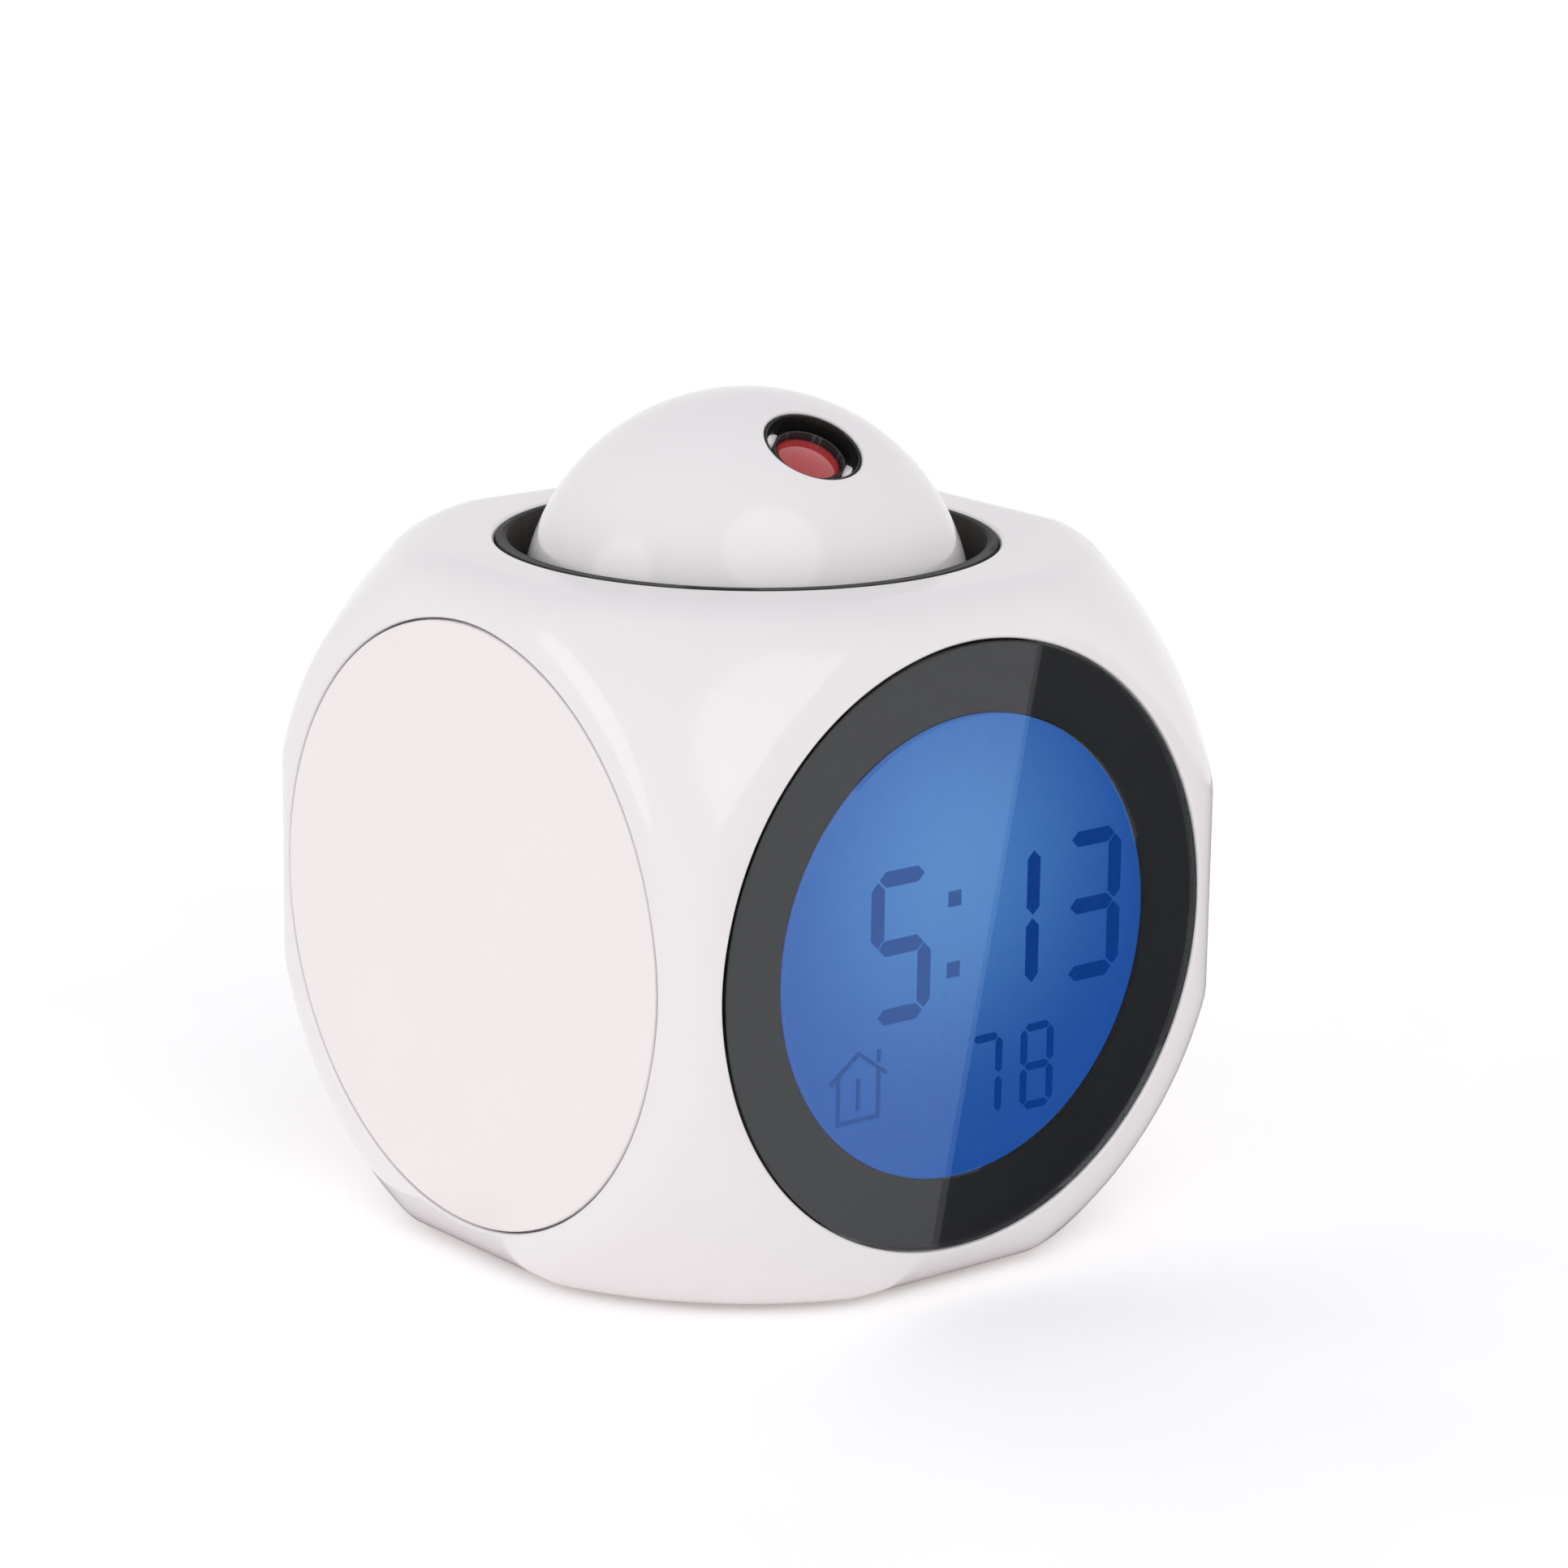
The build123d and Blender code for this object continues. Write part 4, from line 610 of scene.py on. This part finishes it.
def mouth(bm, place, radius, lip_r, sizes):
    """The rounded mouth of an opening, with the skin round it; returns its inner ring."""
    first = first_ring(bm, place, radius + lip_r, sizes, 0.0)
    ring, before = first, 0.0
    for step in range(1, LIP_STEPS + 1):
        angle = math.pi / 2 * step / LIP_STEPS
        depth = lip_r * (1 - math.cos(angle))
        ring = stepped(bm, ring, place, radius + lip_r * (1 - math.sin(angle)), depth - before)
        before = depth
    out_to_edges(bm, first, place, sizes, 0.0)
    return ring


# ---------------------------------------------------------------- operators


class CLOCK_OT_shell(bpy.types.Operator):
    """Models the moulded housing with its six round openings"""

    bl_idname = "clock.shell"
    bl_label = "Housing shell"

    def execute(self, context):
        sizes = context.scene.clock_housing
        bm = bmesh.new()
        ledge_back = sizes.panel_t + sizes.ledge_t
        ledge_r = sizes.opening_r - sizes.ledge_w
        seat_r = sizes.opening_r + sizes.seat_w
        for place in (FRONT, LEFT, RIGHT, REAR, BASE):
            ring = mouth(bm, place, sizes.opening_r, sizes.lip_r, sizes)
            for radius, depth in (
                (sizes.opening_r, sizes.panel_t),
                (ledge_r, sizes.panel_t),
                (ledge_r, ledge_back),
                (seat_r, ledge_back),
            ):
                ring = stepped(bm, ring, place, radius, depth=depth)
            ring = extruded(bm, ring)
            axis = place.to_3x3().col[2]
            onto_skin(ring, [-axis] * len(ring), sizes, sizes.wall)
            out_to_edges(bm, ring, place, sizes, sizes.wall)
        ring = mouth(bm, TOP, sizes.top_r, 2 * sizes.lip_r, sizes)
        ring = stepped(bm, ring, TOP, sizes.top_r, depth=sizes.wall)
        out_to_edges(bm, ring, TOP, sizes, sizes.wall)
        bmesh.ops.remove_doubles(bm, verts=bm.verts, dist=SEAM)
        finish_mesh("housing_shell", bm, "housing", "shell_white", ["body_shell"])
        return {"FINISHED"}


class CLOCK_OT_panels(bpy.types.Operator):
    """Models the plain side panels, and finishes the rear panel, the keys and the base"""

    bl_idname = "clock.panels"
    bl_label = "Panels and keys"

    def execute(self, context):
        sizes = context.scene.clock_housing
        ring_r = sizes.opening_r - sizes.ledge_w - sizes.play
        for node, place in (("left_disc", LEFT), ("right_disc", RIGHT)):
            outline = [
                (0, 0),
                (PANEL_R, 0),
                (PANEL_R, -sizes.panel_t),
                (ring_r, -sizes.panel_t),
                (ring_r, -sizes.panel_t - sizes.ledge_t / 2),
                (ring_r - sizes.hook_t, -sizes.panel_t - sizes.ledge_t / 2),
                (ring_r - sizes.hook_t, -sizes.panel_t),
                (0, -sizes.panel_t),
            ]
            bm = turned(outline, place)
            limit = PANEL_R - sizes.lip_r
            inverse = place.inverted()
            round_edges(bm, sizes.lip_r, lambda e: on_front_rim(e, inverse, limit))
            name = node.replace("disc", "panel")
            finish_mesh(name, bm, "housing", "disc_white", [node])
        keep_flat(smooth_copy("rear_panel"), Vector((0, 1, 0)))
        for node in ("base_plate", "battery_door"):
            keep_flat(smooth_copy(node), Vector((0, 0, 1)))
        for node in ("mode_key", "set_key", "up_key", "down_key", "rubber_feet", "base_screws"):
            smooth_copy(node)
        return {"FINISHED"}


def keep_flat(piece, axis):
    """Makes the rims of a panel's flat faces sharp, so that they stay flat up to their holes."""
    bm = bmesh.new()
    bm.from_mesh(piece.data)
    for edge in bm.edges:
        flats = [abs(face.normal.dot(axis)) > FLAT_COSINE for face in edge.link_faces]
        if any(flats) and not all(flats):
            edge.smooth = False
    bm.to_mesh(piece.data)
    bm.free()


def on_front_rim(edge, inverse, limit):
    """True for an edge of the outer rim of a turned piece's front face."""
    places = [inverse @ v.co for v in edge.verts]
    return all(p.z > -JOIN and p.xy.length > limit for p in places)


class CLOCK_OT_display(bpy.types.Operator):
    """Models the window and the black surround behind it"""

    bl_idname = "clock.display"
    bl_label = "Display"

    def execute(self, context):
        housing, sizes = context.scene.clock_housing, context.scene.clock_display
        bm = turned([(0, 0), (PANEL_R, 0), (PANEL_R, -WINDOW_T), (0, -WINDOW_T)], FRONT)
        inverse = FRONT.inverted()
        limit = PANEL_R - housing.lip_r
        round_edges(bm, housing.lip_r / 2, lambda e: on_front_rim(e, inverse, limit))
        finish_mesh("window", bm, "housing", "window_clear", ["front_window"])
        skirt_r = housing.opening_r - housing.ledge_w - housing.play
        skirt_end = -depth_of("display_bezel")
        front = -WINDOW_T - sizes.print_gap
        outline = [
            (sizes.mask_r, front - sizes.rim_w),
            (sizes.mask_r + sizes.rim_w, front),
            (PANEL_R, front),
            (PANEL_R, -housing.panel_t),
            (skirt_r, -housing.panel_t),
            (skirt_r, skirt_end),
            (skirt_r - sizes.skirt_t, skirt_end),
            (skirt_r - sizes.skirt_t, -housing.panel_t),
            (sizes.mask_r + sizes.undercut, -housing.panel_t),
        ]
        bm = turned(outline, FRONT)
        finish_mesh("surround", bm, "housing", "bezel_black", ["display_bezel"])
        return {"FINISHED"}


def depth_of(node):
    """How deep a node of the front reaches behind the front face."""
    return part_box(node)[1].y - SHELL_LOW.y


class CLOCK_OT_ball(bpy.types.Operator):
    """Models the ball with the hole for its projector, and finishes the well round it"""

    bl_idname = "clock.ball"
    bl_label = "Ball and well"

    def execute(self, context):
        sizes = context.scene.clock_ball
        lip = context.scene.clock_housing.lip_r
        inner_r = BALL_R - sizes.wall
        collar_r = sizes.hole_r + sizes.collar_w
        collar_end = math.sqrt(BALL_R**2 - collar_r**2) - sizes.collar_l
        hole_angle = math.asin((sizes.hole_r + lip) / BALL_R)
        collar_angle = math.asin(collar_r / inner_r)
        outline = arc((0, 0), BALL_R, hole_angle, math.pi, OUTER_STEPS)
        outline += arc((0, 0), inner_r, math.pi, collar_angle, INNER_STEPS)
        rim_at = math.sqrt(BALL_R**2 - sizes.hole_r**2)
        outline += [(collar_r, collar_end), (sizes.hole_r, collar_end)]
        outline += [(sizes.hole_r + out * lip, rim_at - down * lip) for out, down in HOLE_LIP]
        bm = turned(outline, LENS)
        cut = Vector((0, 0, DOME_LOW.z))
        made = bmesh.ops.bisect_plane(
            bm,
            geom=bm.verts[:] + bm.edges[:] + bm.faces[:],
            plane_co=cut,
            plane_no=(0, 0, -1),
            clear_outer=True,
        )
        edges = [g for g in made["geom_cut"] if isinstance(g, bmesh.types.BMEdge)]
        bmesh.ops.bridge_loops(bm, edges=edges)
        finish_mesh("ball_cover", bm, "ball", "ball_white", ["ball_dome"])
        well = smooth_copy("well_ring").data.vertices
        rim = max(vert.co.z for vert in well)
        for vert in well:
            if vert.co.z > rim - JOIN:
                vert.co.z = SHELL_HIGH.z - sizes.rim_depth
        for node in ("projector_tube", "lens_barrel", "projector_lens", "focus_ring"):
            smooth_copy(node)
        return {"FINISHED"}


OUTER_STEPS = 120  # steps of the ball's outer curve
INNER_STEPS = 60  # and of its inner one
HOLE_LIP = ((0, 1), (0.12, 0.5), (0.45, 0.17))  # the hole's rounding, in lip radii out and down


class CLOCK_OT_works(bpy.types.Operator):
    """Finishes the works inside the housing and the ball"""

    bl_idname = "clock.works"
    bl_label = "Inner works"

    def execute(self, context):
        for node, slot in SLOTS.items():
            if not frame["nodes"][node].hide_render:
                frame["nodes"][node].data.materials.clear()
                frame["nodes"][node].data.materials.append(FINISHES[slot])
        return {"FINISHED"}


class CLOCK_OT_stage(bpy.types.Operator):
    """Sets the floor, the lights and the camera"""

    bl_idname = "clock.stage"
    bl_label = "Stage"

    def execute(self, context):
        sizes = context.scene.clock_stage
        scene = context.scene
        scene.view_settings.view_transform = "Standard"
        corners = [(FLOOR_REACH * x, FLOOR_REACH * y, 0) for x, y in SQUARE]
        flat_piece("Floor", corners, pale_floor(tuple(sizes.floor)))
        make_world()
        for lamp in LAMPS:
            make_lamp(*lamp)
        make_card()
        back = Vector(
            (
                math.sin(sizes.azimuth) * math.cos(sizes.elevation),
                -math.cos(sizes.azimuth) * math.cos(sizes.elevation),
                math.sin(sizes.elevation),
            )
        )
        camera = bpy.data.objects.new("Camera", bpy.data.cameras.new("Camera"))
        scene.collection.objects.link(camera)
        camera.data.lens = sizes.lens
        camera.data.sensor_width = SENSOR_W
        place = Matrix.Translation(LOOK_AT * MM + back * sizes.distance)
        turn = (-back).to_track_quat("-Z", "Y").to_matrix().to_4x4()
        camera.matrix_world = place @ turn @ Matrix.Rotation(-sizes.roll, 4, "Z")
        scene.camera = camera
        return {"FINISHED"}


SENSOR_W = 36.0  # millimetres
LOOK_AT = Vector((3.831, -3.158, 54.506))  # millimetres
SQUARE = ((-1, -1), (1, -1), (1, 1), (-1, 1))
FLOOR_REACH = 3.0  # metres each way
FLOOR_LIFT = 0.20  # what brings the floor up to white where it is looked at
FLOOR_GLOW = 0.11  # the floor's own warm light on the object
FLOOR_WARMTH = "#FFD9CF"
WORLD_LEVEL = 0.86  # strength of the light that the world gives
WORLD_LOW = "#FFFDFD"  # its colour at the horizon
WORLD_HIGH = "#D6D5DA"  # and overhead
LAMPS = (
    # name, direction, strength, spread in degrees
    ("Front box", (-0.27, -0.68, 0.68), 0.64, 48),
    ("Side box", (-0.88, 0.36, 0.30), 0.36, 36),
)
# two corners of the card's left edge and the way across it, in millimetres
CARD_NEAR = (-58.0, 11.2, 1.0)
CARD_FAR = (307.4, -363.6, 1.0)
CARD_ACROSS = (215.0, 209.5, 0.0)


def flat_piece(name, corners, material):
    """A flat stage piece with the given corners."""
    bm = bmesh.new()
    bm.faces.new([bm.verts.new(corner) for corner in corners])
    mesh = bpy.data.meshes.new(name)
    bm.to_mesh(mesh)
    bm.free()
    mesh.materials.append(material)
    piece = bpy.data.objects.new(name, mesh)
    bpy.context.scene.collection.objects.link(piece)
    return piece


def seen_white(tree, plain, white):
    """A strength with one value in the light it gives and another where the stage is looked at."""
    path = add_node(tree, "ShaderNodeLightPath").outputs
    seen = path["Is Camera Ray"]
    for ray in ("Is Glossy Ray", "Is Transmission Ray"):
        either = add_node(tree, "ShaderNodeMath", {0: seen, 1: path[ray]}, operation="MAXIMUM")
        seen = either.outputs["Value"]
    return between(tree, seen, plain, white)


def pale_floor(white):
    """A pale matt floor that looks white where no shadow lies on it."""

    def build(tree):
        seen = seen_white(tree, 0.0, 1.0)
        return {
            "Base Color": blend(tree, grain(tree, 40.0), tinted(white, 0.97), white),
            "Roughness": spread(tree, grain(tree, 2.0), 0.8, 0.9),
            "Specular IOR Level": 0.0,
            "Emission Color": blend(tree, seen, linear(FLOOR_WARMTH), white, 0.0, 1.0),
            "Emission Strength": seen_white(tree, FLOOR_GLOW, FLOOR_LIFT),
        }

    return shaded("Pale floor", build)


def make_world():
    """A pale world, softer and cooler overhead and pure white behind the object."""
    world = bpy.data.worlds.new("Studio")
    world.use_nodes = True
    tree = world.node_tree
    tree.nodes.clear()
    way = add_node(tree, "ShaderNodeTexCoord").outputs["Generated"]
    height = add_node(tree, "ShaderNodeSeparateXYZ", {"Vector": way}).outputs["Z"]
    sky = blend(tree, height, linear(WORLD_LOW), linear(WORLD_HIGH), 0.0, 1.0)
    inputs = {"Color": sky, "Strength": seen_white(tree, WORLD_LEVEL, 1.0)}
    shader = add_node(tree, "ShaderNodeBackground", inputs)
    add_node(tree, "ShaderNodeOutputWorld", {"Surface": shader.outputs["Background"]})
    bpy.context.scene.world = world


def make_lamp(name, place, strength, spread):
    """A soft distant lamp that shines from the direction of a place."""
    data = bpy.data.lights.new(name, "SUN")
    data.energy = strength
    data.angle = math.radians(spread)
    lamp = bpy.data.objects.new(name, data)
    bpy.context.scene.collection.objects.link(lamp)
    lamp.location = place
    lamp.rotation_euler = Vector(place).to_track_quat("Z", "Y").to_euler()


def make_card():
    """A grey card on the floor that only reflections show: the darker half of the window."""

    def build(tree):
        return {
            "Base Color": linear("#303030"),
            "Roughness": spread(tree, grain(tree, 3.0), 0.85, 0.95),
            "Specular IOR Level": 0.0,
        }

    near, far, across = Vector(CARD_NEAR), Vector(CARD_FAR), Vector(CARD_ACROSS)
    corners = [point * MM for point in (near, near + across, far + across, far)]
    card = flat_piece("Card", corners, shaded("Grey card", build))
    card.visible_camera = card.visible_diffuse = card.visible_shadow = False


class CLOCK_PT_panel(bpy.types.Panel):
    """The clock's sizes, colours and steps"""

    bl_label = "Projection clock"
    bl_idname = "CLOCK_PT_panel"
    bl_space_type = "VIEW_3D"
    bl_region_type = "UI"
    bl_category = "Clock"

    def draw(self, context):
        for group in SETTINGS:
            box = self.layout.box()
            settings = getattr(context.scene, group)
            for key in settings.bl_rna.properties.keys():
                if key not in ("name", "rna_type"):
                    box.prop(settings, key)
        for operator in OPERATORS:
            self.layout.operator(operator.bl_idname)


SETTINGS = {
    "clock_housing": ClockHousing,
    "clock_display": ClockDisplay,
    "clock_ball": ClockBall,
    "clock_stage": ClockStage,
}
OPERATORS = (
    CLOCK_OT_shell,
    CLOCK_OT_panels,
    CLOCK_OT_display,
    CLOCK_OT_ball,
    CLOCK_OT_works,
    CLOCK_OT_stage,
)
FINISHES = {}


def make_finishes(scene):
    """Makes the finish of every material slot."""
    housing, display, ball = scene.clock_housing, scene.clock_display, scene.clock_ball
    white = gloss_abs(tuple(housing.shell))
    satin = satin_abs(tuple(housing.panel))
    steel = zinc_steel()
    black = black_abs("#181817", 0.25, 0.5)
    plain = {
        "guide_white": ("Milky acrylic", "#EDF0F4", 0.25),
        "lamp_yellow": ("Lamp package", "#E6DA8C", 0.3),
        "contact_grey": ("Conductive rubber", "#5A5C60", 0.7),
        "board_green": ("Solder mask", "#0E4A22", 0.35),
        "resin_black": ("Potting resin", "#0C0C0C", 0.3),
        "parts_grey": ("Moulded components", "#77777A", 0.5),
        "switch_black": ("Switch body", "#141414", 0.5),
        "plunger_grey": ("Switch plunger", "#505052", 0.5),
        "cone_film": ("Speaker film", "#232325", 0.55),
        "magnet_grey": ("Ferrite", "#3A3A3E", 0.6),
        "cell_sleeve": ("Cell sleeve", "#8C6E3C", 0.35),
        "frame_white": ("Natural acetal", "#D2D2D2", 0.4),
        "film_dark": ("Film crystal", "#141416", 0.1),
        "optic_clear": ("Condenser acrylic", "#E6EAEE", 0.05),
        "lamp_red": ("Red lamp", "#B41414", 0.2),
    }
    FINISHES.update({slot: plain_plastic(*facts) for slot, facts in plain.items()})
    FINISHES.update(
        {
            "shell_white": white,
            "ball_white": white,
            "key_white": white,
            "ear_white": white,
            "disc_white": satin,
            "base_white": satin,
            "window_clear": clear_acrylic(display.mask_r, tuple(display.mirror)),
            "bezel_black": black_print(tuple(display.bezel)),
            "lcd_blue": backlit_glass(tuple(display.lit), tuple(display.dim)),
            "lcd_mark": dark_crystal(tuple(display.figures)),
            "well_black": black_abs("#3A3935", 0.5, 0.15),
            "tube_black": black,
            "lens_red": red_acrylic(tuple(ball.lens)),
            "foot_rubber": soft_rubber(),
            "screw_steel": steel,
            "basket_steel": steel,
            "spring_steel": steel,
            "contact_nickel": steel,
        }
    )


def register():
    """Registers the add-on's classes and settings."""
    for cls in (*SETTINGS.values(), *OPERATORS, CLOCK_PT_panel):
        bpy.utils.register_class(cls)
    for name, cls in SETTINGS.items():
        setattr(bpy.types.Scene, name, bpy.props.PointerProperty(type=cls))


def unregister():
    """Takes the add-on's settings and classes away again."""
    for name in SETTINGS:
        delattr(bpy.types.Scene, name)
    for cls in (CLOCK_PT_panel, *OPERATORS, *SETTINGS.values()):
        bpy.utils.unregister_class(cls)


def main():
    """Runs every step in order."""
    register()
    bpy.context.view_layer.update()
    make_finishes(bpy.context.scene)
    for operator in OPERATORS:
        step = getattr(bpy.ops.clock, operator.bl_idname.split(".")[1])
        step()


if __name__ == "__main__":
    main()
